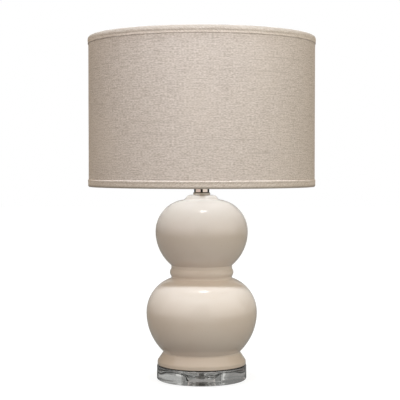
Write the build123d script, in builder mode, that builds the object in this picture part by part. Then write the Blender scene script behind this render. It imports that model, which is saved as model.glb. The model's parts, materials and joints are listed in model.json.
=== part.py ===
from build123d import *
import os
from math import acos, cos, degrees, radians, sin, sqrt

# Table lamp: a glazed double-gourd body on a clear acrylic disc, with a linen drum shade on a harp.
# Millimetres. +Z is up, the origin is on the table under the lamp's axis, and -Y is the front.

# Running and assembly clearances
fit_gap = 0.25
running_gap = 0.06
thread_gap = 0.05
seat_gap = 0.05

# Clear base and the bumpers under it
base_radius = 80.25
base_thickness = 25.4
base_edge_round = 2.0
base_pocket_radius = 25.0
base_pocket_depth = 13.0
bumper_radius = 6.0
bumper_height = 1.5
bumper_edge = 0.4
bumper_circle_radius = 60.0
bumper_count = 4

# Glazed body, from the foot up: every height follows from these radii
wall = 6.0
floor_thickness = 7.0
foot_radius = 79.25
foot_side_height = 7.6
foot_height = 22.0
foot_edge_round = 1.2
foot_shoulder_round = 5.0
foot_recess_radius = 62.0
foot_recess_depth = 2.0
foot_groove_radius = 69.3
foot_groove_height = 2.6
groove_round = 1.2
lower_bulb_radius = 99.0
lower_bulb_under_arc = 96.1
lower_bulb_over_arc = 64.3
waist_radius = 54.4
waist_lower_groove_height = 3.7
waist_upper_groove_height = 5.9
waist_groove_round = 1.5
bead_proud = 2.5
bead_height = 13.6
upper_bulb_radius = 82.5
upper_bulb_under_arc = 78.3
upper_bulb_over_arc = 57.6
collar_radius = 29.5
collar_height = 7.8
collar_round = 6.0
collar_root_round = 1.0
body_top_hole_radius = 9.0

# Cord outlet in the back of the lower bulb, square to the wall
outlet_drop_angle = 32.0
outlet_spotface_depth = 0.5
bushing_bore_radius = 3.2
bushing_barrel_radius = 5.85
bushing_flange_radius = 7.5
bushing_flange_thickness = 2.0
bushing_flange_round = 0.8
bushing_reach_inside = 1.5

# Hollow threaded rod that clamps the stack, with its washers and nut in the base pocket
rod_radius = 5.15
rod_bore_radius = 3.5
rod_past_nut = 2.0
rod_into_socket_cap = 7.0
washer_radius = 16.0
washer_thickness = 1.6
lock_washer_radius = 9.0
lock_washer_thickness = 1.5
nut_across_flats = 19.0
nut_thickness = 5.0
nut_edge = 0.6

# Polished ring and neck between body and socket
ring_radius = 15.3
ring_height = 5.2
ring_edge_round = 2.2
ring_spigot_depth = 6.0
neck_radius = 13.6
neck_height = 16.0
neck_wall = 1.5
neck_web = 2.5
neck_edge_round = 0.6

# Harp: saddle, wire, locking sleeves and swivel stud
saddle_thickness = 2.0
saddle_width = 12.7
saddle_tip_width = 6.4
saddle_arm_height = 14.0
saddle_bend_radius = 3.0
harp_leg_x = 27.0
harp_wire_radius = 2.2
harp_height = 234.0
harp_half_width = 55.0
harp_leg_straight = 40.0
harp_flare_height = 42.0
harp_bend_radius = 25.0
harp_crown_radius = 43.0
harp_eye_radius = 7.5
harp_eye_thickness = 5.4
lap_height = 9.0
lap_gap = 0.1
sleeve_wall = 1.1
sleeve_length = 14.0
sleeve_edge = 0.4
stud_radius = 3.15
stud_shoulder_radius = 8.0
stud_shoulder_thickness = 2.5
stud_rivet_radius = 5.0
stud_rivet_thickness = 1.8
stud_thread_length = 12.0

# Lamp socket
cap_hub_radius = 9.0
cap_hub_height = 4.0
cap_radius = 17.3
cap_height = 17.0
cap_wall = 0.9
cap_shoulder_round = 6.0
set_screw_radius = 1.5
set_screw_length = 3.6
cap_ledge_width = 3.2
cap_ledge_thickness = 1.4
shell_wall = 0.8
shell_in_cap = 4.0
shell_lip = 1.0
shell_bead_radius = 0.7
shell_bead_below_rim = 2.5
paper_wall = 0.6
paper_gap = 0.1
interior_height = 20.0
interior_flat_x = 11.6
terminal_head_radius = 3.0
terminal_head_thickness = 2.0
terminal_shank_radius = 1.5
terminal_shank_length = 5.0
screw_shell_bore_radius = 13.25
screw_shell_wall = 0.4
screw_shell_height = 25.0
contact_width = 5.0
contact_length = 11.0
contact_thickness = 0.6
contact_rise = 2.2
shaft_radius = 1.5
shaft_height_in_interior = 10.0
shaft_depth = 11.0
shaft_hole_radius = 2.6
knob_radius = 5.6
knob_length = 14.0
knob_stand_off = 3.5
knob_edge_round = 1.0
knob_flute_radius = 0.7
knob_flute_count = 16
knob_cover = 9.0

# Bulb
bulb_shell_radius = 13.05
bulb_shell_height = 22.0
bulb_tip_radius = 4.6
bulb_tip_height = 0.9
bulb_insulator_height = 2.6
bulb_radius = 30.0
bulb_neck_radius = 12.4
bulb_flare_radius = 42.0
bulb_length = 88.0
bulb_wall = 1.0

# Drum shade
shade_radius = 201.2
shade_height = 264.4
shade_fabric_thickness = 0.8
shade_liner_thickness = 0.7
trim_thickness = 1.7
trim_height = 12.7
trim_inner_height = 11.0
trim_round = 1.5
trim_notch_width = 6.0
ring_wire_radius = 1.75
ring_gap = 0.2
spoke_radius = 1.6
spoke_count = 3
spoke_first_angle = 90.0
spoke_rise_run = 19.0
spoke_bend_radius = 12.0
hub_radius = 13.0
hub_hole_radius = 5.5
hub_thickness = 2.2
hub_recess = 15.0

# Finial
finial_seat_radius = 8.5
finial_seat_height = 2.4
finial_seat_round = 0.8
finial_cove_round = 1.4
finial_stem_radius = 5.9
finial_stem_height = 3.4
finial_bead_proud = 1.3
finial_bead_height = 2.4
finial_ball_radius = 7.6
insert_radius = 4.4
insert_height = 9.0

# Heights up the rod
base_bottom = bumper_height
base_top = base_bottom + base_thickness
pocket_top = base_bottom + base_pocket_depth
washer_bottom = pocket_top - washer_thickness
lock_washer_bottom = washer_bottom - lock_washer_thickness
nut_bottom = lock_washer_bottom - nut_thickness
rod_bottom = nut_bottom - rod_past_nut


def arc_rise(arc_radius, bulb_max_radius, end_radius):
    """Height between a bulb's widest level and where its arc reaches end_radius."""
    across = end_radius - (bulb_max_radius - arc_radius)
    return sqrt(arc_radius**2 - across**2)


def arc_angle(arc_radius, bulb_max_radius, end_radius):
    """Angle in degrees that the arc turns from the widest level to end_radius."""
    return degrees(acos((end_radius - (bulb_max_radius - arc_radius)) / arc_radius))


foot_groove_bottom = base_top + foot_height
foot_groove_top = foot_groove_bottom + foot_groove_height
lower_bulb_level = foot_groove_top + arc_rise(
    lower_bulb_under_arc, lower_bulb_radius, foot_groove_radius
)
waist_bottom = lower_bulb_level + arc_rise(lower_bulb_over_arc, lower_bulb_radius, waist_radius)
bead_bottom = waist_bottom + waist_lower_groove_height
bead_top = bead_bottom + bead_height
waist_top = bead_top + waist_upper_groove_height
upper_bulb_level = waist_top + arc_rise(upper_bulb_under_arc, upper_bulb_radius, waist_radius)
collar_bottom = upper_bulb_level + arc_rise(
    upper_bulb_over_arc, upper_bulb_radius, collar_radius
)
body_top = collar_bottom + collar_height

ring_top = body_top + ring_height
neck_top = ring_top + neck_height
saddle_top = neck_top + saddle_thickness
saddle_arm_top = saddle_top + saddle_arm_height
rod_top = saddle_top + rod_into_socket_cap

harp_top = saddle_top + harp_height
harp_eye_top = harp_top + harp_eye_thickness / 2
stud_seat = harp_eye_top + stud_shoulder_thickness
hub_top = stud_seat + hub_thickness
shade_rim = hub_top + hub_recess
shade_foot = shade_rim - shade_height

cap_top = saddle_top + cap_height
shell_bottom = cap_top - shell_in_cap
interior_bottom = shell_bottom
screw_shell_bottom = interior_bottom + interior_height
shell_top = screw_shell_bottom + screw_shell_height + shell_lip
shaft_level = interior_bottom + shaft_height_in_interior
contact_top = screw_shell_bottom + contact_rise + contact_thickness
bulb_tip_bottom = contact_top + seat_gap
bulb_insulator_bottom = bulb_tip_bottom + bulb_tip_height
bulb_shell_bottom = bulb_insulator_bottom + bulb_insulator_height
bulb_shell_top = bulb_shell_bottom + bulb_shell_height
bulb_top = bulb_shell_top + bulb_length

# Radii that nest inside one another
rod_hole_radius = rod_radius + fit_gap
cap_bore_radius = cap_radius - cap_wall
cap_ledge_radius = cap_bore_radius - cap_ledge_width
shell_radius = cap_bore_radius - fit_gap
shell_bore_radius = shell_radius - shell_wall
paper_radius = shell_bore_radius - paper_gap
paper_bore_radius = paper_radius - paper_wall
interior_radius = paper_bore_radius - fit_gap
harp_sleeve_bore_radius = harp_wire_radius + fit_gap
liner_radius = shade_radius - shade_fabric_thickness
liner_bore_radius = liner_radius - shade_liner_thickness
ring_wire_circle = liner_bore_radius - ring_gap - ring_wire_radius
trim_radius = shade_radius + trim_thickness
trim_bore_radius = ring_wire_circle - ring_wire_radius - ring_gap - trim_thickness
top_ring_level = shade_rim - trim_thickness - ring_gap - ring_wire_radius
bottom_ring_level = shade_foot + trim_thickness + ring_gap + ring_wire_radius

os.makedirs("parts", exist_ok=True)


def write(piece, name):
    """Labels a finished piece and writes it as its own file."""
    piece.part.label = name
    export_step(piece.part, f"parts/{name}.step")


def tube(outer, inner, bottom, top):
    """A plain round tube between two heights, as a private part."""
    with BuildPart(mode=Mode.PRIVATE) as made:
        with BuildSketch(Plane.XY.offset(bottom)):
            Circle(outer)
            Circle(inner, mode=Mode.SUBTRACT)
        extrude(amount=top - bottom)
    return made


# Clear acrylic base
with BuildPart() as base_disc:
    with BuildSketch(Plane.XY.offset(base_bottom)):
        Circle(base_radius)
    extrude(amount=base_thickness)
    fillet(base_disc.edges().filter_by(GeomType.CIRCLE), radius=base_edge_round)
    with Locations(Plane((0, 0, base_bottom), z_dir=(0, 0, -1))):
        CounterBoreHole(rod_hole_radius, base_pocket_radius, base_pocket_depth, base_thickness)
write(base_disc, "base_disc")

# Bumpers under the base
with BuildPart() as base_bumpers:
    with BuildSketch():
        with PolarLocations(bumper_circle_radius, bumper_count, start_angle=180 / bumper_count):
            Circle(bumper_radius)
    extrude(amount=bumper_height)
    chamfer(base_bumpers.edges().group_by(Axis.Z)[0], bumper_edge)
write(base_bumpers, "base_bumpers")

# Glazed body
lower_under_angle = arc_angle(lower_bulb_under_arc, lower_bulb_radius, foot_groove_radius)
lower_over_angle = arc_angle(lower_bulb_over_arc, lower_bulb_radius, waist_radius)
upper_under_angle = arc_angle(upper_bulb_under_arc, upper_bulb_radius, waist_radius)
upper_over_angle = arc_angle(upper_bulb_over_arc, upper_bulb_radius, collar_radius)
lower_under_centre = (lower_bulb_radius - lower_bulb_under_arc, lower_bulb_level)
lower_over_centre = (lower_bulb_radius - lower_bulb_over_arc, lower_bulb_level)
upper_under_centre = (upper_bulb_radius - upper_bulb_under_arc, upper_bulb_level)
upper_over_centre = (upper_bulb_radius - upper_bulb_over_arc, upper_bulb_level)

# The cavity keeps one wall behind the bulbs and runs straight past the bead and grooves.
cavity_floor = base_top + floor_thickness
cavity_foot_radius = foot_radius - 2 * wall
cavity_groove_radius = foot_groove_radius - wall
cavity_waist_radius = waist_radius - wall
cavity_lower_under_angle = arc_angle(
    lower_bulb_under_arc - wall, lower_bulb_radius - wall, cavity_groove_radius
)
cavity_lower_over_angle = arc_angle(
    lower_bulb_over_arc - wall, lower_bulb_radius - wall, cavity_waist_radius
)
cavity_upper_under_angle = arc_angle(
    upper_bulb_under_arc - wall, upper_bulb_radius - wall, cavity_waist_radius
)

# Square to the wall at the outlet, with its origin on the glazed surface
outlet_out = Vector(0, cos(radians(outlet_drop_angle)), -sin(radians(outlet_drop_angle)))
outlet_point = Vector(0, lower_under_centre[0], lower_bulb_level) + outlet_out * lower_bulb_under_arc
outlet_plane = Plane(outlet_point, x_dir=(1, 0, 0), z_dir=outlet_out)
outlet_seat_plane = outlet_plane.offset(-outlet_spotface_depth)

with BuildPart() as ceramic_body:
    with BuildSketch(Plane.XZ) as outer_profile:
        with BuildLine():
            foot = Polyline(
                (0, base_top),
                (foot_radius, base_top),
                (foot_radius, base_top + foot_side_height),
                (foot_groove_radius, foot_groove_bottom),
                (foot_groove_radius, foot_groove_top),
            )
            CenterArc(lower_under_centre, lower_bulb_under_arc, -lower_under_angle, lower_under_angle)
            lower_over = CenterArc(lower_over_centre, lower_bulb_over_arc, 0, lower_over_angle)
            lower_groove = Line(lower_over @ 1, (waist_radius, bead_bottom))
            bead = ThreePointArc(
                lower_groove @ 1,
                (waist_radius + bead_proud, (bead_bottom + bead_top) / 2),
                (waist_radius, bead_top),
            )
            Line(bead @ 1, (waist_radius, waist_top))
            CenterArc(upper_under_centre, upper_bulb_under_arc, -upper_under_angle, upper_under_angle)
            upper_over = CenterArc(upper_over_centre, upper_bulb_over_arc, 0, upper_over_angle)
            Polyline(upper_over @ 1, (collar_radius, body_top), (0, body_top), (0, base_top))
        make_face()
        rounded = [
            ((foot_radius, base_top), foot_edge_round),
            ((foot_radius, base_top + foot_side_height), foot_shoulder_round),
            ((foot_groove_radius, foot_groove_bottom), groove_round),
            ((foot_groove_radius, foot_groove_top), groove_round),
            ((waist_radius, waist_bottom), waist_groove_round),
            ((waist_radius, bead_bottom), waist_groove_round),
            ((waist_radius, bead_top), waist_groove_round),
            ((waist_radius, waist_top), waist_groove_round),
            ((collar_radius, collar_bottom), collar_root_round),
            ((collar_radius, body_top), collar_round),
        ]
        for corner, round_radius in rounded:
            fillet(outer_profile.vertices().sort_by_distance(corner)[0], radius=round_radius)
    revolve(axis=Axis.Z)
    with BuildSketch(Plane.XZ):
        with BuildLine():
            cavity_upper_over = CenterArc(upper_over_centre, upper_bulb_over_arc - wall, 0, 90)
            cavity_upper_under = CenterArc(
                upper_under_centre,
                upper_bulb_under_arc - wall,
                -cavity_upper_under_angle,
                cavity_upper_under_angle,
            )
            cavity_lower_over = CenterArc(
                lower_over_centre, lower_bulb_over_arc - wall, 0, cavity_lower_over_angle
            )
            cavity_lower_under = CenterArc(
                lower_under_centre,
                lower_bulb_under_arc - wall,
                -cavity_lower_under_angle,
                cavity_lower_under_angle,
            )
            Line(cavity_lower_over @ 1, cavity_upper_under @ 0)
            Polyline(
                cavity_upper_over @ 1,
                (0, (cavity_upper_over @ 1).Y),
                (0, cavity_floor),
                (cavity_foot_radius, cavity_floor),
                (cavity_groove_radius, foot_groove_bottom),
                cavity_lower_under @ 0,
            )
        make_face()
    revolve(axis=Axis.Z, mode=Mode.SUBTRACT)
    with BuildSketch(Plane.XY.offset(base_top)):
        Circle(foot_recess_radius)
    extrude(amount=foot_recess_depth, mode=Mode.SUBTRACT)
    with BuildSketch(Plane.XY.offset(base_top)):
        Circle(rod_hole_radius)
    extrude(amount=floor_thickness, mode=Mode.SUBTRACT)
    with BuildSketch(Plane.XY.offset(body_top)):
        Circle(body_top_hole_radius)
    extrude(amount=-(body_top - upper_bulb_level), mode=Mode.SUBTRACT)
    with BuildSketch(outlet_seat_plane):
        Circle(bushing_flange_radius + fit_gap)
    extrude(amount=wall, mode=Mode.SUBTRACT)
    with BuildSketch(outlet_plane):
        Circle(bushing_barrel_radius + fit_gap)
    extrude(amount=-2 * wall, mode=Mode.SUBTRACT)
write(ceramic_body, "ceramic_body")

# Bushing that lines the cord outlet
with BuildPart() as cord_bushing:
    with BuildSketch(outlet_seat_plane):
        Circle(bushing_flange_radius)
    extrude(amount=bushing_flange_thickness)
    fillet(cord_bushing.faces().sort_by(Axis((0, 0, 0), outlet_out))[-1].edges(), bushing_flange_round)
    with BuildSketch(outlet_seat_plane):
        Circle(bushing_barrel_radius)
    extrude(amount=-(wall - outlet_spotface_depth + bushing_reach_inside))
    with BuildSketch(outlet_seat_plane.offset(bushing_flange_thickness)):
        Circle(bushing_bore_radius)
    extrude(amount=-2 * wall - bushing_flange_thickness, mode=Mode.SUBTRACT)
write(cord_bushing, "cord_bushing")

# Threaded rod with the washers and nut in the base pocket
write(tube(rod_radius, rod_bore_radius, rod_bottom, rod_top), "threaded_rod")
write(tube(washer_radius, rod_hole_radius, washer_bottom, pocket_top), "base_washer")
write(
    tube(lock_washer_radius, rod_hole_radius, lock_washer_bottom, washer_bottom), "base_lock_washer"
)
with BuildPart() as base_nut:
    with BuildSketch(Plane.XY.offset(nut_bottom)):
        RegularPolygon(nut_across_flats / 2, side_count=6, major_radius=False)
    extrude(amount=nut_thickness)
    chamfer(base_nut.edges().group_by(Axis.Z)[0], nut_edge)
    with BuildSketch(Plane.XY.offset(nut_bottom)):
        Circle(rod_radius + thread_gap)
    extrude(amount=nut_thickness, mode=Mode.SUBTRACT)
write(base_nut, "base_nut")

# Ring that seats on the collar and centres the rod in the body
with BuildPart() as seat_ring:
    with BuildSketch(Plane.XY.offset(body_top)):
        Circle(ring_radius)
    extrude(amount=ring_height)
    fillet(seat_ring.edges().filter_by(GeomType.CIRCLE), radius=ring_edge_round)
    with BuildSketch(Plane.XY.offset(body_top)):
        Circle(body_top_hole_radius - fit_gap)
    extrude(amount=-ring_spigot_depth)
    with BuildSketch(Plane.XY.offset(ring_top)):
        Circle(rod_hole_radius)
    extrude(amount=-(ring_height + ring_spigot_depth), mode=Mode.SUBTRACT)
write(seat_ring, "seat_ring")

# Neck above the ring
with BuildPart() as neck:
    with BuildSketch(Plane.XY.offset(ring_top)):
        Circle(neck_radius)
    extrude(amount=neck_height)
    fillet(neck.edges().group_by(Axis.Z)[-1], radius=neck_edge_round)
    with BuildSketch(Plane.XY.offset(ring_top)):
        Circle(neck_radius - neck_wall)
    extrude(amount=neck_height - neck_web, mode=Mode.SUBTRACT)
    with BuildSketch(Plane.XY.offset(neck_top)):
        Circle(rod_hole_radius)
    extrude(amount=-neck_height, mode=Mode.SUBTRACT)
write(neck, "neck")

# Saddle: a bent strip whose arms narrow to a half-round tongue under each harp leg
saddle_outer_x = harp_leg_x + saddle_thickness / 2
saddle_inner_x = harp_leg_x - saddle_thickness / 2
with BuildPart() as harp_saddle:
    with BuildSketch(Plane.XZ) as strip:
        with BuildLine():
            Polyline(
                (-saddle_outer_x, saddle_arm_top),
                (-saddle_outer_x, neck_top),
                (saddle_outer_x, neck_top),
                (saddle_outer_x, saddle_arm_top),
                (saddle_inner_x, saddle_arm_top),
                (saddle_inner_x, saddle_top),
                (-saddle_inner_x, saddle_top),
                (-saddle_inner_x, saddle_arm_top),
                close=True,
            )
        make_face()
        fillet(strip.vertices().group_by(Axis.Y)[0], saddle_bend_radius + saddle_thickness)
        fillet(
            [strip.vertices().sort_by_distance((x, saddle_top))[0] for x in (-saddle_inner_x, saddle_inner_x)],
            saddle_bend_radius,
        )
    extrude(amount=saddle_width / 2, both=True)
    with BuildSketch(Plane.YZ):
        with BuildLine():
            Polyline(
                (-saddle_width / 2, neck_top),
                (saddle_width / 2, neck_top),
                (saddle_width / 2, saddle_top + saddle_bend_radius),
                (saddle_tip_width / 2, saddle_arm_top),
                (-saddle_tip_width / 2, saddle_arm_top),
                (-saddle_width / 2, saddle_top + saddle_bend_radius),
                close=True,
            )
        make_face()
    extrude(amount=saddle_outer_x, both=True, mode=Mode.INTERSECT)
    with BuildSketch(Plane.XY.offset(saddle_arm_top)):
        with Locations((-harp_leg_x, 0), (harp_leg_x, 0)):
            Circle(harp_wire_radius)
        Rectangle(2 * (harp_leg_x - lap_gap), 2 * harp_wire_radius, mode=Mode.INTERSECT)
    extrude(amount=lap_height)
    with BuildSketch(Plane.XY.offset(neck_top)):
        Circle(rod_hole_radius)
    extrude(amount=saddle_thickness, mode=Mode.SUBTRACT)
write(harp_saddle, "harp_saddle")

# Harp wire: half-lapped onto the tongues, bowed round the bulb, with a flat eye at the crown
harp_flare_bottom = saddle_arm_top + harp_leg_straight
harp_flare_top = harp_flare_bottom + harp_flare_height
with BuildPart() as harp_wire:
    with BuildLine(Plane.XZ) as harp_path:
        FilletPolyline(
            (-harp_leg_x, saddle_arm_top + lap_gap),
            (-harp_leg_x, harp_flare_bottom),
            (-harp_half_width, harp_flare_top),
            (-harp_half_width, harp_top),
            (harp_half_width, harp_top),
            (harp_half_width, harp_flare_top),
            (harp_leg_x, harp_flare_bottom),
            (harp_leg_x, saddle_arm_top + lap_gap),
            radius=[harp_bend_radius] * 2 + [harp_crown_radius] * 2 + [harp_bend_radius] * 2,
        )
    with BuildSketch(Plane(harp_path.line @ 0, z_dir=harp_path.line % 0)):
        Circle(harp_wire_radius)
    sweep()
    with BuildSketch(Plane.XY.offset(harp_top - harp_eye_thickness / 2)):
        Circle(harp_eye_radius)
    extrude(amount=harp_eye_thickness)
    with BuildSketch(Plane.XY.offset(harp_eye_top)):
        Circle(stud_radius + running_gap)
    extrude(amount=-harp_eye_thickness, mode=Mode.SUBTRACT)
    with BuildSketch(Plane.XY.offset(saddle_arm_top)):
        Rectangle(2 * harp_leg_x, 4 * harp_wire_radius)
    extrude(amount=lap_height + lap_gap, mode=Mode.SUBTRACT)
write(harp_wire, "harp_wire")

# Sleeves that drop over the lap joints and lock the harp
for side, sleeve_x in (("left", -harp_leg_x), ("right", harp_leg_x)):
    with BuildPart() as sleeve:
        with BuildSketch(Plane.XY.offset(saddle_arm_top + seat_gap)):
            with Locations((sleeve_x, 0)):
                Circle(harp_sleeve_bore_radius + sleeve_wall)
        extrude(amount=sleeve_length)
        chamfer(sleeve.edges().filter_by(GeomType.CIRCLE), sleeve_edge)
        with BuildSketch(Plane.XY.offset(saddle_arm_top + seat_gap)):
            with Locations((sleeve_x, 0)):
                Circle(harp_sleeve_bore_radius)
        extrude(amount=sleeve_length, mode=Mode.SUBTRACT)
    write(sleeve, f"harp_sleeve_{side}")

# Swivel stud riveted through the harp's eye: its shoulder carries the shade
eye_gap = running_gap
with BuildPart() as harp_stud:
    with BuildSketch(Plane.XY.offset(harp_eye_top + eye_gap)):
        Circle(stud_shoulder_radius)
    extrude(amount=stud_shoulder_thickness - eye_gap)
    with BuildSketch(Plane.XY.offset(harp_top - harp_eye_thickness / 2 - eye_gap)):
        Circle(stud_rivet_radius)
    extrude(amount=-stud_rivet_thickness)
    with BuildSketch(Plane.XY.offset(harp_top - harp_eye_thickness / 2 - eye_gap)):
        Circle(stud_radius)
    extrude(amount=harp_eye_thickness + 2 * eye_gap)
    with BuildSketch(Plane.XY.offset(stud_seat)):
        Circle(stud_radius)
    extrude(amount=stud_thread_length)
write(harp_stud, "harp_stud")

# Socket cap, screwed on the rod and held by a set screw at the back
set_screw_level = saddle_top + cap_hub_height / 2
with BuildPart() as socket_cap:
    with BuildSketch(Plane.XZ) as cup:
        with BuildLine():
            Polyline(
                (rod_radius + thread_gap, saddle_top),
                (cap_hub_radius, saddle_top),
                (cap_hub_radius, saddle_top + cap_hub_height),
                (cap_radius, saddle_top + cap_hub_height),
                (cap_radius, cap_top),
                (cap_bore_radius, cap_top),
                (cap_bore_radius, shell_bottom),
                (cap_ledge_radius, shell_bottom),
                (cap_ledge_radius, shell_bottom - cap_ledge_thickness),
                (cap_bore_radius, shell_bottom - cap_ledge_thickness),
                (cap_bore_radius, saddle_top + cap_hub_height + cap_wall),
                (cap_hub_radius - cap_wall, saddle_top + cap_hub_height + cap_wall),
                (cap_hub_radius - cap_wall, rod_top),
                (rod_radius + thread_gap, rod_top),
                close=True,
            )
        make_face()
        fillet(
            cup.vertices().sort_by_distance((cap_radius, saddle_top + cap_hub_height))[0],
            cap_shoulder_round,
        )
        fillet(
            cup.vertices().sort_by_distance(
                (cap_bore_radius, saddle_top + cap_hub_height + cap_wall)
            )[0],
            cap_shoulder_round - cap_wall,
        )
    revolve(axis=Axis.Z)
    with BuildSketch(Plane.XZ):
        with Locations((0, set_screw_level)):
            Circle(set_screw_radius + thread_gap)
    extrude(amount=-cap_hub_radius, mode=Mode.SUBTRACT)
write(socket_cap, "socket_cap")

with BuildPart() as cap_set_screw:
    with BuildSketch(Plane.XZ.offset(-(rod_radius + thread_gap))):
        with Locations((0, set_screw_level)):
            Circle(set_screw_radius)
    extrude(amount=-set_screw_length)
write(cap_set_screw, "cap_set_screw")


def tube_with_shaft_hole(outer, inner, bottom, top, bead_levels=()):
    """A socket tube, with any rolled beads, and a round window in its front for the switch shaft."""
    with BuildPart() as made:
        with BuildSketch(Plane.XY.offset(bottom)):
            Circle(outer)
            Circle(inner, mode=Mode.SUBTRACT)
        extrude(amount=top - bottom)
        for level in bead_levels:
            with Locations((0, 0, level)):
                Torus(outer, shell_bead_radius)
        with BuildSketch(Plane.XZ):
            with Locations((0, shaft_level)):
                Circle(shaft_hole_radius)
        extrude(amount=outer, mode=Mode.SUBTRACT)
    return made


shell_beads = (screw_shell_bottom, shell_top - shell_bead_below_rim)
write(
    tube_with_shaft_hole(shell_radius, shell_bore_radius, shell_bottom, shell_top, shell_beads),
    "socket_shell",
)
write(
    tube_with_shaft_hole(paper_radius, paper_bore_radius, shell_bottom, shell_top),
    "socket_paper_sleeve",
)

# Moulded interior that holds the contacts and the switch
with BuildPart() as socket_interior:
    with BuildSketch(Plane.XY.offset(interior_bottom)):
        Circle(interior_radius)
        Rectangle(2 * interior_flat_x, 2 * interior_radius, mode=Mode.INTERSECT)
    extrude(amount=interior_height)
    with BuildSketch(Plane.XZ.offset(interior_radius)):
        with Locations((0, shaft_level)):
            Circle(shaft_radius + running_gap)
    extrude(amount=-shaft_depth, mode=Mode.SUBTRACT)
    for side in (-1, 1):
        with BuildSketch(Plane.YZ.offset(side * interior_flat_x)):
            with Locations((0, shaft_level)):
                Circle(terminal_shank_radius + thread_gap)
        extrude(amount=-side * terminal_shank_length, mode=Mode.SUBTRACT)
write(socket_interior, "socket_interior")

with BuildPart() as terminal_screws:
    for side in (-1, 1):
        with BuildSketch(Plane.YZ.offset(side * interior_flat_x)):
            with Locations((0, shaft_level)):
                Circle(terminal_head_radius)
        extrude(amount=side * terminal_head_thickness)
        with BuildSketch(Plane.YZ.offset(side * interior_flat_x)):
            with Locations((0, shaft_level)):
                Circle(terminal_shank_radius)
        extrude(amount=-side * terminal_shank_length)
write(terminal_screws, "terminal_screws")

# Screw shell and spring contact that the bulb meets
with BuildPart() as screw_shell:
    with BuildSketch(Plane.XY.offset(screw_shell_bottom)):
        Circle(screw_shell_bore_radius + screw_shell_wall)
        Circle(screw_shell_bore_radius, mode=Mode.SUBTRACT)
    extrude(amount=screw_shell_height)
write(screw_shell, "screw_shell")

with BuildPart() as centre_contact:
    with BuildSketch(Plane.XZ):
        with BuildLine():
            leaf = Polyline(
                (-contact_length / 2, screw_shell_bottom),
                (-contact_length / 6, screw_shell_bottom),
                (contact_length / 6, screw_shell_bottom + contact_rise),
                (contact_length / 2, screw_shell_bottom + contact_rise),
            )
            leaf_top = Polyline(
                *[(point.X, point.Y + contact_thickness) for point in leaf.vertices()]
            )
            Line(leaf @ 0, leaf_top @ 0)
            Line(leaf @ 1, leaf_top @ 1)
        make_face()
    extrude(amount=contact_width / 2, both=True)
write(centre_contact, "centre_contact")

# Rotary switch: shaft and fluted knob at the front
knob_back = shell_radius + knob_stand_off
shaft_inner_end = interior_radius - shaft_depth + running_gap
with BuildPart() as switch_shaft:
    with BuildSketch(Plane.XZ.offset(shaft_inner_end)):
        with Locations((0, shaft_level)):
            Circle(shaft_radius)
    extrude(amount=knob_back + knob_cover - shaft_inner_end)
write(switch_shaft, "switch_shaft")

with BuildPart() as switch_knob:
    with BuildSketch(Plane.XZ.offset(knob_back)):
        with Locations((0, shaft_level)):
            Circle(knob_radius)
    extrude(amount=knob_length)
    fillet(switch_knob.faces().sort_by(Axis.Y)[0].edges(), knob_edge_round)
    with BuildSketch(Plane.XZ.offset(knob_back)):
        with Locations((0, shaft_level)):
            with PolarLocations(knob_radius, knob_flute_count):
                Circle(knob_flute_radius)
    extrude(amount=knob_length, mode=Mode.SUBTRACT)
    with BuildSketch(Plane.XZ.offset(knob_back)):
        with Locations((0, shaft_level)):
            Circle(shaft_radius + thread_gap)
    extrude(amount=knob_cover + thread_gap, mode=Mode.SUBTRACT)
write(switch_knob, "switch_knob")

# Bulb: envelope, screw base, insulator and tip contact
with BuildPart() as bulb_globe:
    bulb_centre = bulb_top - bulb_radius
    flare_reach = bulb_radius + bulb_flare_radius
    flare_angle = degrees(acos((bulb_neck_radius + bulb_flare_radius) / flare_reach))
    flare_drop = flare_reach * sin(radians(flare_angle))
    flare_centre = (bulb_neck_radius + bulb_flare_radius, bulb_centre - flare_drop)
    with BuildSketch(Plane.XZ):
        with BuildLine():
            walls = []
            for inset in (0, bulb_wall):
                crown = CenterArc((0, bulb_centre), bulb_radius - inset, -flare_angle, 90 + flare_angle)
                flare = CenterArc(flare_centre, bulb_flare_radius + inset, 180 - flare_angle, flare_angle)
                neck_side = Line(flare @ 1, (bulb_neck_radius - inset, bulb_shell_top))
                walls.append((crown @ 1, neck_side @ 1))
            for outer_end, inner_end in zip(*walls):
                Line(outer_end, inner_end)
        make_face()
    revolve(axis=Axis.Z)
write(bulb_globe, "bulb_globe")

write(
    tube(bulb_shell_radius, bulb_neck_radius - bulb_wall, bulb_shell_bottom, bulb_shell_top),
    "bulb_screw_base",
)
with BuildPart() as bulb_insulator:
    with BuildSketch(Plane.XZ):
        with BuildLine():
            Polyline(
                (0, bulb_insulator_bottom),
                (bulb_tip_radius, bulb_insulator_bottom),
                (bulb_shell_radius, bulb_shell_bottom - running_gap),
                (0, bulb_shell_bottom - running_gap),
                close=True,
            )
        make_face()
    revolve(axis=Axis.Z)
write(bulb_insulator, "bulb_insulator")

with BuildPart() as bulb_tip:
    with BuildSketch(Plane.XY.offset(bulb_tip_bottom)):
        Circle(bulb_tip_radius)
    extrude(amount=bulb_tip_height)
    chamfer(bulb_tip.edges().group_by(Axis.Z)[0], bulb_tip_height / 2)
write(bulb_tip, "bulb_tip")

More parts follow.
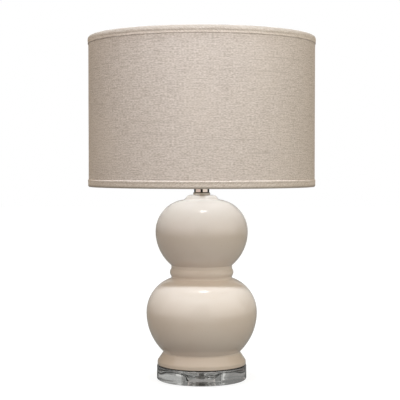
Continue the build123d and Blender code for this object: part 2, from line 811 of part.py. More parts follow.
# Shade frame: top ring with three recessed spokes and the hub washer, and a plain bottom ring
spoke_level = stud_seat + hub_thickness / 2
with BuildPart() as shade_spider:
    with Locations((0, 0, top_ring_level)):
        Torus(ring_wire_circle, ring_wire_radius)
    for index in range(spoke_count):
        turn = radians(spoke_first_angle + index * 360 / spoke_count)
        spoke_plane = Plane(
            (0, 0, 0), x_dir=(cos(turn), sin(turn), 0), z_dir=(sin(turn), -cos(turn), 0)
        )
        with BuildLine(spoke_plane) as spoke_path:
            FilletPolyline(
                ((hub_radius + hub_hole_radius) / 2, spoke_level),
                (ring_wire_circle - spoke_rise_run, spoke_level),
                (ring_wire_circle, top_ring_level),
                radius=spoke_bend_radius,
            )
        with BuildSketch(Plane(spoke_path.line @ 0, z_dir=spoke_path.line % 0)):
            Circle(spoke_radius)
        sweep()
    with BuildSketch(Plane.XY.offset(stud_seat)):
        Circle(hub_radius)
    extrude(amount=hub_thickness)
    with BuildSketch(Plane.XY.offset(spoke_level - 2 * spoke_radius)):
        Circle(hub_hole_radius)
    extrude(amount=4 * spoke_radius, mode=Mode.SUBTRACT)
write(shade_spider, "shade_spider")

with BuildPart() as shade_bottom_ring:
    with Locations((0, 0, bottom_ring_level)):
        Torus(ring_wire_circle, ring_wire_radius)
write(shade_bottom_ring, "shade_bottom_ring")

# Stiff liner and the linen laminated on it
drum_bottom = shade_foot + trim_thickness
drum_top = shade_rim - trim_thickness
write(tube(liner_radius, liner_bore_radius, drum_bottom, drum_top), "shade_liner")
write(tube(shade_radius, liner_radius, drum_bottom, drum_top), "shade_fabric")


def fold_trim(edge, inward):
    """Binding tape folded over the drum's edge. inward is +1 or -1, the way from the edge to mid drum."""
    with BuildPart(mode=Mode.PRIVATE) as made:
        with BuildSketch(Plane.XZ) as fold:
            with BuildLine():
                Polyline(
                    (trim_radius, edge + inward * trim_height),
                    (trim_radius, edge),
                    (trim_bore_radius, edge),
                    (trim_bore_radius, edge + inward * trim_inner_height),
                    (trim_bore_radius + trim_thickness, edge + inward * trim_inner_height),
                    (trim_bore_radius + trim_thickness, edge + inward * trim_thickness),
                    (shade_radius, edge + inward * trim_thickness),
                    (shade_radius, edge + inward * trim_height),
                    close=True,
                )
            make_face()
            fillet(
                [
                    fold.vertices().sort_by_distance((radius, edge))[0]
                    for radius in (trim_radius, trim_bore_radius)
                ],
                trim_round,
            )
        revolve(axis=Axis.Z)
    return made


with BuildPart() as shade_top_trim:
    add(fold_trim(shade_rim, -1).part)
    notch_height = trim_inner_height - trim_thickness
    notch_radius = trim_bore_radius + trim_thickness / 2
    notch_level = shade_rim - trim_thickness - notch_height / 2
    with Locations((0, 0, notch_level)):
        with PolarLocations(notch_radius, spoke_count, start_angle=spoke_first_angle):
            Box(2 * trim_thickness, trim_notch_width, notch_height, mode=Mode.SUBTRACT)
write(shade_top_trim, "shade_top_trim")
write(fold_trim(shade_foot, 1), "shade_bottom_trim")

# Finial: a threaded insert in a turned knob, clamping the hub on the stud
insert_gap = running_gap
finial_bottom = hub_top + seat_gap
finial_seat_top = finial_bottom + finial_seat_height
finial_bead_bottom = finial_seat_top + finial_stem_height
finial_bead_top = finial_bead_bottom + finial_bead_height
finial_ball_level = finial_bead_top + sqrt(finial_ball_radius**2 - finial_stem_radius**2)
finial_ball_angle = degrees(acos(finial_stem_radius / finial_ball_radius))
insert_bottom = finial_bottom
insert_top = insert_bottom + insert_height
with BuildPart() as finial_knob:
    with BuildSketch(Plane.XZ) as turned:
        with BuildLine():
            foot_line = Polyline(
                (0, finial_bottom),
                (finial_seat_radius, finial_bottom),
                (finial_seat_radius, finial_seat_top),
                (finial_stem_radius, finial_seat_top),
                (finial_stem_radius, finial_bead_bottom),
            )
            ThreePointArc(
                foot_line @ 1,
                (finial_stem_radius + finial_bead_proud, (finial_bead_bottom + finial_bead_top) / 2),
                (finial_stem_radius, finial_bead_top),
            )
            ball = CenterArc(
                (0, finial_ball_level), finial_ball_radius, -finial_ball_angle, 90 + finial_ball_angle
            )
            Line(ball @ 1, foot_line @ 0)
        make_face()
        fillet(
            turned.vertices().sort_by_distance((finial_seat_radius, finial_seat_top))[0],
            finial_seat_round,
        )
        fillet(
            turned.vertices().sort_by_distance((finial_stem_radius, finial_seat_top))[0],
            finial_cove_round,
        )
    revolve(axis=Axis.Z)
    with BuildSketch(Plane.XY.offset(finial_bottom)):
        Circle(insert_radius + insert_gap)
    extrude(amount=stud_thread_length, mode=Mode.SUBTRACT)
write(finial_knob, "finial_knob")
write(tube(insert_radius, stud_radius + thread_gap, insert_bottom, insert_top), "finial_insert")

print("heights", {"body_top": body_top, "shade_foot": shade_foot, "shade_rim": shade_rim, "harp_top": harp_top})
print("outlet", outlet_plane.origin, outlet_out)
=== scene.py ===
import json
from math import acos, asin, cos, degrees, exp, pi, radians, sin, sqrt, tan

import bmesh
import bpy
from mathutils import Matrix, Vector, noise

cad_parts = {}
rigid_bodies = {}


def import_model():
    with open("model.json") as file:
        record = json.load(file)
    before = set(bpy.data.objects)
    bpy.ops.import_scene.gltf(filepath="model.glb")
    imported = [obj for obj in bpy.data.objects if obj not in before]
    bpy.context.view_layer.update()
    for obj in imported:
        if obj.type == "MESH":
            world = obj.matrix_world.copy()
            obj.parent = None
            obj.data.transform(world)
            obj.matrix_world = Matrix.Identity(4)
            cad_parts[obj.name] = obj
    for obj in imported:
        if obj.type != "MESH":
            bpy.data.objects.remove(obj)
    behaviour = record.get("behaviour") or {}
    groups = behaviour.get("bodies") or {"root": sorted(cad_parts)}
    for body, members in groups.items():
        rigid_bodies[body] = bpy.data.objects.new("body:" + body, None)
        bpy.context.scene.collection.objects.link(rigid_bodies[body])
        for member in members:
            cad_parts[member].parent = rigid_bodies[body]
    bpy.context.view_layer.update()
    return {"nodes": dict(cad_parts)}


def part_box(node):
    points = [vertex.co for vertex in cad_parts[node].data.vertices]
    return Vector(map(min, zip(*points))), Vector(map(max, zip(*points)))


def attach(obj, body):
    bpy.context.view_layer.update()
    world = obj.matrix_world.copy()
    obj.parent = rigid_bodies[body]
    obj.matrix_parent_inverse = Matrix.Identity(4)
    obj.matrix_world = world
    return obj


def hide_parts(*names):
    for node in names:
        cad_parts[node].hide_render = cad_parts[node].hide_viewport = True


for leftover in list(bpy.data.objects):
    bpy.data.objects.remove(leftover)
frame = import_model()

# Shapes are drawn in millimetres and scaled to metres when a piece is finished
MM = 0.001
turning_steps = 192
metal_turning_steps = 128
knob_turning_steps = 96
small_turning_steps = 64
stud_turning_steps = 48
outlet_turning_steps = 48
bumper_turning_steps = 40
rod_turning_steps = 32
smooth_angle = 35.0
turned_weld = 0.001
seam_weld = 0.01
flat_hold = 0.08
crease_round = 0.2

# Finished pieces are in metres, and so is the distance at which their points merge
merge_distance = 0.00001


def top_of(node):
    """Height of a CAD node's highest point, in millimetres."""
    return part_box(node)[1].z / MM


def bottom_of(node):
    """Height of a CAD node's lowest point, in millimetres."""
    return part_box(node)[0].z / MM


# Sizes of the body
wall = 6.0
floor_thickness = 7.0
foot_radius = 79.25
foot_side_height = 7.6
foot_height = 22.0
foot_edge_round = 1.2
# Height of the band of painted shade where the foot meets the base
foot_contact_shade_height = 2.2
foot_shoulder_round = 5.0
foot_recess_radius = 62.0
foot_recess_depth = 2.0
foot_recess_round = 0.8
foot_groove_radius = 69.3
foot_groove_height = 2.6
groove_round = 1.2
lower_bulb_radius = 99.0
lower_bulb_under_arc = 96.1
lower_bulb_over_arc = 64.3
waist_radius = 54.4
waist_lower_groove_height = 3.7
waist_upper_groove_height = 5.9
waist_groove_round = 1.5
bead_proud = 2.5
bead_height = 13.6
bead_step = 1.5
upper_bulb_radius = 82.5
upper_bulb_under_arc = 78.3
upper_bulb_over_arc = 57.6
collar_radius = 31.0
collar_top_radius = 24.6
collar_round = 6.0
collar_root_round = 4.5
body_top_hole_radius = 9.0
body_top_hole_round = 0.6
cavity_step = 7.0
# How far painted shade darkens the glaze below and above the foot's top
foot_shade_below = 12.0
foot_shade_above = 4.0
outlet_drop_angle = 32.0
outlet_spotface_depth = 0.5
outlet_spotface_radius = 7.75
outlet_hole_radius = 6.1

# Sizes of the base and of the metal that clamps the stack
base_radius = 80.25
base_edge_round = 2.0
base_pocket_radius = 25.0
base_pocket_depth = 13.0
base_pocket_round = 0.4
contact_gap = 0.05
bumper_radius = 6.0
bumper_round = 1.0
bumper_circle_radius = 60.0
bumper_count = 4
rod_hole_radius = 5.4
rod_radius = 5.15
rod_bore_radius = 3.5
rod_pitch = 25.4 / 27
rod_thread_depth = 0.42
rod_thread_turns = 13
thread_sink = 0.2
ring_radius = 15.3
ring_edge_round = 2.2
ring_spigot_radius = 8.75
ring_spigot_round = 0.5
neck_radius = 13.6
neck_wall = 1.5
neck_web = 2.5
neck_edge_round = 0.6
neck_foot_round = 0.3
# Band of painted shade at the crease where the neck meets its ring
neck_shade_drop = 0.5
neck_shade_reach = 0.95

# Sizes of the stud, finial and bulb
stud_radius = 3.15
stud_shoulder_radius = 8.0
stud_shoulder_thickness = 2.5
stud_shoulder_round = 0.4
stud_edge_round = 0.6
stud_rivet_radius = 5.0
stud_rivet_thickness = 1.8
stud_rivet_round = 1.4
stud_thread_length = 12.0
stud_thread_depth = 0.35
stud_thread_turns = 11
stud_thread_start = 0.3
eye_height = 5.4
eye_gap = 0.06
finial_seat_radius = 8.5
finial_seat_height = 2.4
finial_foot_round = 0.3
finial_seat_round = 0.8
finial_stem_radius = 5.9
finial_stem_height = 3.4
finial_stem_round = 1.4
finial_bead_proud = 1.3
finial_bead_height = 2.4
finial_bead_step = 0.3
finial_ball_radius = 7.6
finial_ball_step = 0.7
finial_bore_radius = 4.46
bulb_radius = 30.0
bulb_neck_radius = 12.4
bulb_flare_radius = 42.0
globe_step = 1.5
bulb_shell_radius = 13.05
bulb_thread_pitch = 25.4 / 7
bulb_thread_depth = 0.75
bulb_thread_turns = 4
bulb_thread_start = 0.6
bulb_thread_steps = 48
bulb_base_chamfer = 1.2
bulb_base_round = 0.6
bulb_collar_height = 1.8
bulb_collar_round = 0.4
bulb_collar_root_height = 2.2
bulb_collar_root_round = 0.3

# Sizes of the drum
shade_radius = 201.2
linen_thickness = 0.7
linen_middle_radius = 200.8
liner_radius = 200.4
liner_bore_radius = 199.7
seam_overlap = 14.0
seam_ramp = 5.0
seam_lift = 1.05
drum_columns = 360
drum_rows = 20
linen_puff = 0.12
puff_length = 60.0
puff_height = 50.0
trim_bore_radius = 194.1
trim_height = 13.0
trim_inner_height = 11.0
tape_proud = 1.15
tape_thickness = 0.9
tape_hem = 1.5
tape_bias = 30.0
tape_columns = 560
tape_rows = 48
hem_roll = 0.5
ditch_wander = 0.5
wander_length = 24.0
slack_length = 17.0
wrinkle_depth = 0.2
wrinkle_slant = 1.2
wrinkle_length = 5.0
wrinkle_height = 11.0
crumple_depth = 0.09
crumple_length = 2.4
# How far painted shade reaches from each binding's fold
top_fold_shade = 5.5
bottom_fold_shade = 6.4

# Each binding's turn over the rim: how far it curves inwards and downwards
top_roll = (3.0, 5.5)
bottom_roll = (2.5, 4.0)

# Each binding's pressed ditch: level, reach to the rim, reach to the hem, deepest, shallowest
top_ditch = (8.8, 1.5, 4.2, 0.95, 0.1)
bottom_ditch = (7.8, 6.0, 2.0, 0.7, 0.2)

# Heights taken from the CAD nodes
base_bottom = bottom_of("base_disc")
base_top = top_of("base_disc")
body_top = top_of("ceramic_body")
ring_top = top_of("seat_ring")
neck_top = top_of("neck")
shade_rim = top_of("shade_top_trim")
shade_foot = bottom_of("shade_bottom_trim")


class HalfSection:
    """Half of a turned piece's section in the XZ plane: cuts and arcs, with rounded corners."""

    def __init__(self, radius, height):
        self.mesh = bmesh.new()
        self.first = self.mesh.verts.new((radius, 0, height))
        self.last = self.first
        self.corners = []

    def to(self, radius, height, corner=0.0):
        """A straight cut to a point, whose corner is rounded when the piece is turned."""
        point = self.mesh.verts.new((radius, 0, height))
        self.mesh.edges.new((self.last, point))
        self.last = point
        if corner:
            self.corners.append((point, corner))

    def arc(self, centre, turn, step=2.5, corner=0.0):
        """An arc about centre by turn degrees, from the last point on."""
        middle = Vector((centre[0], 0, centre[1]))
        reach = (self.last.co - middle).length
        steps = max(5, round(radians(abs(turn)) * reach / step))
        swept = bmesh.ops.spin(
            self.mesh,
            geom=[self.last],
            cent=middle,
            axis=(0, -1, 0),
            angle=radians(turn),
            steps=steps,
        )
        self.last = [part for part in swept["geom_last"] if isinstance(part, bmesh.types.BMVert)][0]
        if corner:
            self.corners.append((self.last, corner))

    def close(self):
        """Joins the last point to the first one."""
        self.mesh.edges.new((self.last, self.first))

    def hold_flat(self, point, offset):
        """Adds a point past a rounding on each side, so that long cuts stay flat in the light."""
        for edge in list(point.link_edges):
            length = edge.calc_length()
            hold = offset * 1.02 + flat_hold
            if length > 1.5 * hold:
                bmesh.utils.edge_split(edge, point, hold / length)

    def turned(self, steps=turning_steps):
        """Rounds the corners and turns the section about the lamp's axis."""
        for point, radius in self.corners:
            ways = [edge.other_vert(point).co - point.co for edge in point.link_edges]
            bend = pi - ways[0].angle(ways[1])
            offset = radius * tan(bend / 2)
            self.hold_flat(point, offset)
            bmesh.ops.bevel(
                self.mesh,
                geom=[point],
                offset=offset,
                affect="VERTICES",
                segments=max(2, round(degrees(bend) / 15)),
                profile=0.5,
                material=-1,
            )
        bmesh.ops.spin(
            self.mesh,
            geom=self.mesh.verts[:] + self.mesh.edges[:],
            cent=(0, 0, 0),
            axis=(0, 0, 1),
            angle=2 * pi,
            steps=steps,
            use_merge=True,
        )
        bmesh.ops.remove_doubles(self.mesh, verts=self.mesh.verts, dist=turned_weld)
        bmesh.ops.recalc_face_normals(self.mesh, faces=self.mesh.faces)
        return self.mesh


def turned_tube(outer, inner, bottom, top, steps=turning_steps):
    """A round tube."""
    section = HalfSection(inner, bottom)
    section.to(outer, bottom)
    section.to(outer, top)
    section.to(inner, top)
    section.close()
    return section.turned(steps)


def cut_thread(mesh, crest, depth, pitch, bottom, turns, steps):
    """Adds a rounded screw thread: a tooth spun up the axis, closed by a wall in the core."""
    root = crest - depth
    heights = (0.0, 0.2, 0.35, 0.5, 0.65, 0.8, 1.0)
    depths = (0.0, 0.15, 0.7, 1.0, 0.7, 0.15, 0.0)
    core = set(mesh.verts)
    points = [
        mesh.verts.new((root + depth * out, 0, bottom + pitch * up))
        for up, out in zip(heights, depths)
    ]
    tooth = [mesh.edges.new(pair) for pair in zip(points, points[1:])]
    bmesh.ops.spin(
        mesh,
        geom=points + tooth,
        cent=(0, 0, 0),
        axis=(0, 0, 1),
        dvec=(0, 0, pitch / steps),
        angle=2 * pi * turns,
        steps=steps * turns,
    )
    thread = [vert for vert in mesh.verts if vert not in core]
    bmesh.ops.remove_doubles(mesh, verts=thread, dist=seam_weld)
    rims = [edge for edge in mesh.edges if edge.is_boundary]
    sunk = bmesh.ops.extrude_edge_only(mesh, edges=rims)["geom"]
    for part in sunk:
        if isinstance(part, bmesh.types.BMVert):
            part.co.xy = part.co.xy.normalized() * (root - thread_sink)
    inner_rims = [part for part in sunk if isinstance(part, bmesh.types.BMEdge)]
    bmesh.ops.bridge_loops(mesh, edges=inner_rims)
    bmesh.ops.recalc_face_normals(mesh, faces=mesh.faces)


def finish_piece(name, mesh, finish, body, nodes):
    """Makes a piece of a drawn mesh, which rides on a body and stands for CAD nodes."""
    mesh.transform(Matrix.Scale(MM, 4))
    data = bpy.data.meshes.new(name)
    mesh.to_mesh(data)
    mesh.free()
    data.shade_smooth()
    data.set_sharp_from_angle(angle=radians(smooth_angle))
    data.materials.append(finish)
    piece = bpy.data.objects.new(name, data)
    bpy.context.scene.collection.objects.link(piece)
    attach(piece, body)
    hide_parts(*nodes)
    return piece


# Node helpers
def place(tree, kind, inputs, **settings):
    """Adds a node, sets it and fills its inputs with values or links."""
    made = tree.nodes.new(kind)
    for name, value in settings.items():
        setattr(made, name, value)
    for name, value in inputs.items():
        if isinstance(value, bpy.types.NodeSocket):
            tree.links.new(value, made.inputs[name])
        else:
            made.inputs[name].default_value = value
    return made


def maths(tree, operation, first, second=0.0):
    """A Math node's result."""
    made = place(tree, "ShaderNodeMath", {0: first, 1: second}, operation=operation)
    return made.outputs[0]


def stretched_noise(tree, position, stretch, detail):
    """Noise whose grain is stretched: stretch is the grains to a metre along each axis."""
    laid = place(tree, "ShaderNodeMapping", {"Vector": position, "Scale": stretch})
    noise_node = place(
        tree,
        "ShaderNodeTexNoise",
        {"Vector": laid.outputs[0], "Scale": 1.0, "Detail": detail, "Roughness": 0.5},
    )
    return noise_node.outputs["Fac"]


def blend(tree, mask, first, second):
    """A colour between first and second, by mask."""
    mixed = place(tree, "ShaderNodeMix", {0: mask, 6: first, 7: second}, data_type="RGBA")
    return mixed.outputs[2]


def between(tree, value, low, high, low_out=0.0, high_out=1.0):
    """A value moved from one range to another, and held within it."""
    moved = place(
        tree, "ShaderNodeMapRange", {0: value, 1: low, 2: high, 3: low_out, 4: high_out}
    )
    return moved.outputs[0]


def new_group(name, inputs, outputs):
    """An empty shader node group with its sockets."""
    group = bpy.data.node_groups.new(name, "ShaderNodeTree")
    for label, kind, value in inputs:
        socket = group.interface.new_socket(label, in_out="INPUT", socket_type=kind)
        if value is not None:
            socket.default_value = value
    for label, kind in outputs:
        group.interface.new_socket(label, in_out="OUTPUT", socket_type=kind)
    taken = group.nodes.new("NodeGroupInput")
    given = group.nodes.new("NodeGroupOutput")
    return group, taken, given


def linen_weave_group():
    """Plain weave with slubs: how light a thread is, and how high it stands. Cloth is in metres."""
    group, taken, given = new_group(
        "linen weave",
        [("Cloth", "NodeSocketVector", None), ("Thread", "NodeSocketFloat", 0.00055)],
        [("Tone", "NodeSocketFloat"), ("Slub", "NodeSocketFloat"), ("Height", "NodeSocketFloat")],
    )
    cloth = taken.outputs["Cloth"]
    parts = place(group, "ShaderNodeSeparateXYZ", {0: cloth})
    turn_rate = maths(group, "DIVIDE", pi, taken.outputs["Thread"])
    warp = maths(group, "SINE", maths(group, "MULTIPLY", parts.outputs[0], turn_rate))
    weft = maths(group, "SINE", maths(group, "MULTIPLY", parts.outputs[1], turn_rate))
    over_under = maths(group, "MULTIPLY", warp, weft)
    flecks = stretched_noise(group, cloth, (250.0, 560.0, 1.0), 1.0)
    slubs = stretched_noise(group, cloth, (45.0, 520.0, 1.0), 1.0)
    uprights = stretched_noise(group, cloth, (620.0, 50.0, 1.0), 1.0)
    strays = stretched_noise(group, cloth, (5.0, 260.0, 1.0), 0.0)
    yarn = maths(group, "ADD", flecks, maths(group, "MULTIPLY", slubs, 0.6))
    tone = maths(group, "ADD", yarn, maths(group, "MULTIPLY", uprights, 0.15))
    group.links.new(between(group, tone, 0.6, 1.15), given.inputs["Tone"])
    dark_yarn = maths(
        group, "MAXIMUM", between(group, slubs, 0.64, 0.78), between(group, strays, 0.7, 0.78)
    )
    group.links.new(dark_yarn, given.inputs["Slub"])
    height = maths(group, "ADD", maths(group, "MULTIPLY", over_under, 0.35), yarn)
    group.links.new(height, given.inputs["Height"])
    return group


def handling_group():
    """Marks of making and handling: soft clouds, fine grain and hairline scratches."""
    group, taken, given = new_group(
        "handling marks",
        [
            ("Position", "NodeSocketVector", None),
            ("Cloud Scale", "NodeSocketFloat", 30.0),
            ("Grain Scale", "NodeSocketFloat", 1500.0),
        ],
        [
            ("Cloud", "NodeSocketFloat"),
            ("Grain", "NodeSocketFloat"),
            ("Scratch", "NodeSocketFloat"),
        ],
    )
    position = taken.outputs["Position"]
    cloud = place(
        group,
        "ShaderNodeTexNoise",
        {"Vector": position, "Scale": taken.outputs["Cloud Scale"], "Detail": 3.0},
    )
    grain = place(
        group,
        "ShaderNodeTexNoise",
        {"Vector": position, "Scale": taken.outputs["Grain Scale"], "Detail": 1.0},
    )
    lines = stretched_noise(group, position, (90.0, 60.0, 700.0), 1.0)
    off_line = maths(group, "ABSOLUTE", maths(group, "SUBTRACT", lines, 0.5))
    scratch = between(group, off_line, 0.0, 0.012, 1.0, 0.0)
    broken = maths(group, "MULTIPLY", scratch, between(group, cloud.outputs["Fac"], 0.5, 0.65))
    group.links.new(cloud.outputs["Fac"], given.inputs["Cloud"])
    group.links.new(grain.outputs["Fac"], given.inputs["Grain"])
    group.links.new(broken, given.inputs["Scratch"])
    return group


def shade_band_group():
    """Mask of painted shade round a level, in metres: full as far as Core from it, none past Reach.
    """
    group, taken, given = new_group(
        "shade_band",
        [
            ("Position", "NodeSocketVector", None),
            ("Level", "NodeSocketFloat", 0.0),
            ("Core", "NodeSocketFloat", 0.001),
            ("Reach", "NodeSocketFloat", 0.002),
            ("Strength", "NodeSocketFloat", 1.0),
        ],
        [("Mask", "NodeSocketFloat")],
    )
    height = place(group, "ShaderNodeSeparateXYZ", {0: taken.outputs["Position"]}).outputs[2]
    off_level = maths(group, "ABSOLUTE", maths(group, "SUBTRACT", height, taken.outputs["Level"]))
    mask = between(
        group,
        off_level,
        taken.outputs["Core"],
        taken.outputs["Reach"],
        taken.outputs["Strength"],
        0.0,
    )
    group.links.new(mask, given.inputs["Mask"])
    return group


linen_weave = linen_weave_group()
handling_marks = handling_group()
shade_band_mask = shade_band_group()


def new_finish(name):
    """A material with its node tree, shader and Object coordinates."""
    finish = bpy.data.materials.new(name)
    finish.use_nodes = True
    tree = finish.node_tree
    shader = tree.nodes["Principled BSDF"]
    position = tree.nodes.new("ShaderNodeTexCoord").outputs["Object"]
    return finish, tree, shader, position


def handled(tree, position, cloud_scale, grain_scale=1500.0):
    """The handling marks, placed in a finish with its own scales."""
    return place(
        tree,
        "ShaderNodeGroup",
        {"Position": position, "Cloud Scale": cloud_scale, "Grain Scale": grain_scale},
        node_tree=handling_marks,
    )


def raise_surface(tree, shader, height, strength, distance):
    """Bumps the shader's normal by a height."""
    bump = place(
        tree, "ShaderNodeBump", {"Height": height, "Strength": strength, "Distance": distance}
    )
    tree.links.new(bump.outputs[0], shader.inputs["Normal"])


def paint_shade_band(finish, level, reach, colour, fade=0.7, strength=1.0):
    """Paints shade into a finish round a level, in millimetres, as far as reach above and below it.
    """
    tree = finish.node_tree
    shader = tree.nodes["Principled BSDF"]
    position = tree.nodes.new("ShaderNodeTexCoord").outputs["Object"]
    shade_band = place(
        tree,
        "ShaderNodeGroup",
        {
            "Position": position,
            "Level": level * MM,
            "Core": reach * fade * MM,
            "Reach": reach * MM,
            "Strength": strength,
        },
        node_tree=shade_band_mask,
    )
    clean = shader.inputs["Base Color"].links[0].from_socket
    shaded_colour = blend(tree, shade_band.outputs["Mask"], clean, colour)
    tree.links.new(shaded_colour, shader.inputs["Base Color"])


def linen_finish(name, light, dark):
    """Natural slubbed linen, on a piece whose UV map is the cloth laid flat in metres."""
    finish, tree, shader, position = new_finish(name)
    cloth = tree.nodes.new("ShaderNodeUVMap")
    cloth.uv_map = "cloth"
    weave = place(tree, "ShaderNodeGroup", {}, node_tree=linen_weave)
    tree.links.new(cloth.outputs[0], weave.inputs["Cloth"])
    marks = handled(tree, position, 9.0)
    threads = blend(tree, weave.outputs["Tone"], dark, light)
    shadowed = [channel * 0.86 for channel in dark[:3]] + [1.0]
    slubbed = blend(tree, maths(tree, "MULTIPLY", weave.outputs["Slub"], 0.4), threads, shadowed)
    aged = [light[0] * 0.97, light[1] * 0.95, light[2] * 0.91, 1.0]
    worn = maths(tree, "MULTIPLY", between(tree, marks.outputs["Cloud"], 0.45, 0.75), 0.3)
    tree.links.new(blend(tree, worn, slubbed, aged), shader.inputs["Base Color"])
    tree.links.new(
        between(tree, weave.outputs["Tone"], 0.0, 1.0, 0.98, 0.82), shader.inputs["Roughness"]
    )
    shader.inputs["Specular IOR Level"].default_value = 0.25
    raise_surface(tree, shader, weave.outputs["Height"], 0.35, 0.0004)
    return finish


def plain_finish(
    name, light, dark, rough, metal=0.0, grain=0.0, cloud_scale=30.0, grain_scale=1500.0
):
    """A solid stuff with tonal clouds, uneven gloss, a fine grain and hairline scratches."""
    finish, tree, shader, position = new_finish(name)
    marks = handled(tree, position, cloud_scale, grain_scale)
    clouds = between(tree, marks.outputs["Cloud"], 0.35, 0.65)
    tree.links.new(blend(tree, clouds, dark, light), shader.inputs["Base Color"])
    low, high = rough
    gloss = between(tree, marks.outputs["Cloud"], 0.3, 0.7, low, high)
    scratched = maths(tree, "MULTIPLY", marks.outputs["Scratch"], 0.18)
    tree.links.new(maths(tree, "ADD", gloss, scratched), shader.inputs["Roughness"])
    shader.inputs["Metallic"].default_value = metal
    if grain:
        raise_surface(tree, shader, marks.outputs["Grain"], grain, 0.0001)
    return finish


def binding_finish():
    """Linen of the bindings, with painted shade greying both folds."""
    finish = linen_finish("binding linen", (0.88, 0.79, 0.76, 1.0), (0.61, 0.52, 0.48, 1.0))
    # Painted shade: both folds turn greyer towards their edges, the top one more strongly
    folds = ((shade_rim, top_fold_shade, 0.85), (shade_foot, bottom_fold_shade, 0.62))
    for fold, reach, strength in folds:
        paint_shade_band(finish, fold, reach, (0.42, 0.36, 0.32, 1.0), 0.25, strength)
    return finish


def neck_finish(name, rough):
    """Polished nickel with painted shade darkening the crease where the neck meets its ring."""
    finish = plain_finish(name, (0.76, 0.705, 0.64, 1), (0.72, 0.665, 0.60, 1), rough, 1.0)
    # Painted shade: a dark band round the crease at the neck's foot, on the neck and the ring alike
    paint_shade_band(finish, ring_top - neck_shade_drop, neck_shade_reach, (0.12, 0.085, 0.055, 1.0))
    return finish


def glaze_finish():
    """Thick cream glaze: warm clouds, thinner on crests, with a faint ripple in its gloss, and
    painted shade over the foot.
    """
    finish, tree, shader, position = new_finish("cream glaze")
    marks = handled(tree, position, 14.0, 260.0)
    thick = (0.80, 0.70, 0.65, 1.0)
    pooled = (0.78, 0.67, 0.615, 1.0)
    thin = (0.73, 0.59, 0.5, 1.0)
    foot_shade_tone = (0.70, 0.595, 0.535, 1.0)
    clouds = between(tree, marks.outputs["Cloud"], 0.35, 0.68)
    tone = blend(tree, clouds, pooled, thick)
    crest = between(tree, tree.nodes.new("ShaderNodeNewGeometry").outputs["Pointiness"], 0.53, 0.62)
    patchy = between(tree, marks.outputs["Grain"], 0.3, 0.7, 0.2, 0.7)
    broken_crest = maths(tree, "MULTIPLY", crest, patchy)
    speck = between(tree, stretched_noise(tree, position, (420.0, 420.0, 420.0), 0.0), 0.76, 0.8)
    edged = blend(tree, broken_crest, tone, thin)
    speckled = blend(tree, maths(tree, "MULTIPLY", speck, 0.35), edged, thin)
    # Painted shade: the glaze turns darker towards the bottom, over the foot
    height = place(tree, "ShaderNodeSeparateXYZ", {0: position}).outputs[2]
    foot_level = base_top + foot_height
    fade_bottom = (foot_level - foot_shade_below) * MM
    fade_top = (foot_level + foot_shade_above) * MM
    foot_shade_mask = between(tree, height, fade_bottom, fade_top, 1.0, 0.0)
    tree.links.new(blend(tree, foot_shade_mask, speckled, foot_shade_tone), shader.inputs["Base Color"])
    gloss = between(tree, marks.outputs["Cloud"], 0.3, 0.7, 0.05, 0.08)
    tree.links.new(gloss, shader.inputs["Roughness"])
    raise_surface(tree, shader, marks.outputs["Grain"], 0.008, 0.0006)
    # Painted shade: a near-black band where the foot sits on the base
    paint_shade_band(finish, base_top, foot_contact_shade_height, (0.05, 0.036, 0.026, 1.0))
    return finish


def acrylic_finish(name, tint, rough):
    """Clear cast acrylic with polishing marks."""
    finish, tree, shader, position = new_finish(name)
    marks = handled(tree, position, 25.0)
    shader.inputs["Transmission Weight"].default_value = 0.985
    shader.inputs["IOR"].default_value = 1.49
    smudge = [channel * 0.97 for channel in tint[:3]] + [1.0]
    cloudy = between(tree, marks.outputs["Cloud"], 0.45, 0.75)
    tree.links.new(blend(tree, cloudy, tint, smudge), shader.inputs["Base Color"])
    low, high = rough
    polish = between(tree, marks.outputs["Cloud"], 0.4, 0.7, low, high)
    scratched = maths(tree, "MULTIPLY", marks.outputs["Scratch"], 0.06)
    tree.links.new(maths(tree, "ADD", polish, scratched), shader.inputs["Roughness"])
    ripple = stretched_noise(tree, position, (22.0, 22.0, 60.0), 0.0)
    raise_surface(tree, shader, ripple, 1.0, 0.0018)
    return finish


linen = linen_finish("natural linen", (0.86, 0.77, 0.755, 1.0), (0.515, 0.44, 0.41, 1.0))
binding_linen = binding_finish()
glaze = glaze_finish()
polished_neck = neck_finish("polished neck", (0.03, 0.06))
ring_metal = neck_finish("ring metal", (0.3, 0.38))
acrylic = acrylic_finish("clear acrylic", (0.985, 0.99, 0.985, 1.0), (0.0, 0.02))
soft_bumper = acrylic_finish("clear bumper", (0.93, 0.94, 0.93, 1.0), (0.12, 0.2))
polished_nickel = plain_finish(
    "polished nickel", (0.76, 0.705, 0.64, 1), (0.70, 0.645, 0.58, 1), (0.04, 0.09), metal=1.0
)
satin_nickel = plain_finish(
    "satin nickel",
    (0.68, 0.64, 0.59, 1),
    (0.58, 0.545, 0.50, 1),
    (0.26, 0.38),
    metal=1.0,
    grain=0.12,
)
zinc = plain_finish(
    "zinc plate",
    (0.64, 0.65, 0.65, 1),
    (0.50, 0.50, 0.48, 1),
    (0.32, 0.5),
    metal=1.0,
    grain=0.2,
    cloud_scale=60.0,
)
brass = plain_finish(
    "plain brass",
    (0.82, 0.60, 0.29, 1),
    (0.68, 0.47, 0.21, 1),
    (0.2, 0.36),
    metal=1.0,
    grain=0.1,
    cloud_scale=60.0,
)
black_phenolic = plain_finish(
    "black phenolic",
    (0.028, 0.025, 0.022, 1),
    (0.014, 0.013, 0.012, 1),
    (0.28, 0.42),
    grain=0.15,
    cloud_scale=80.0,
)
white_plastic = plain_finish(
    "white moulding",
    (0.86, 0.84, 0.79, 1),
    (0.80, 0.775, 0.72, 1),
    (0.34, 0.46),
    grain=0.2,
    cloud_scale=60.0,
)
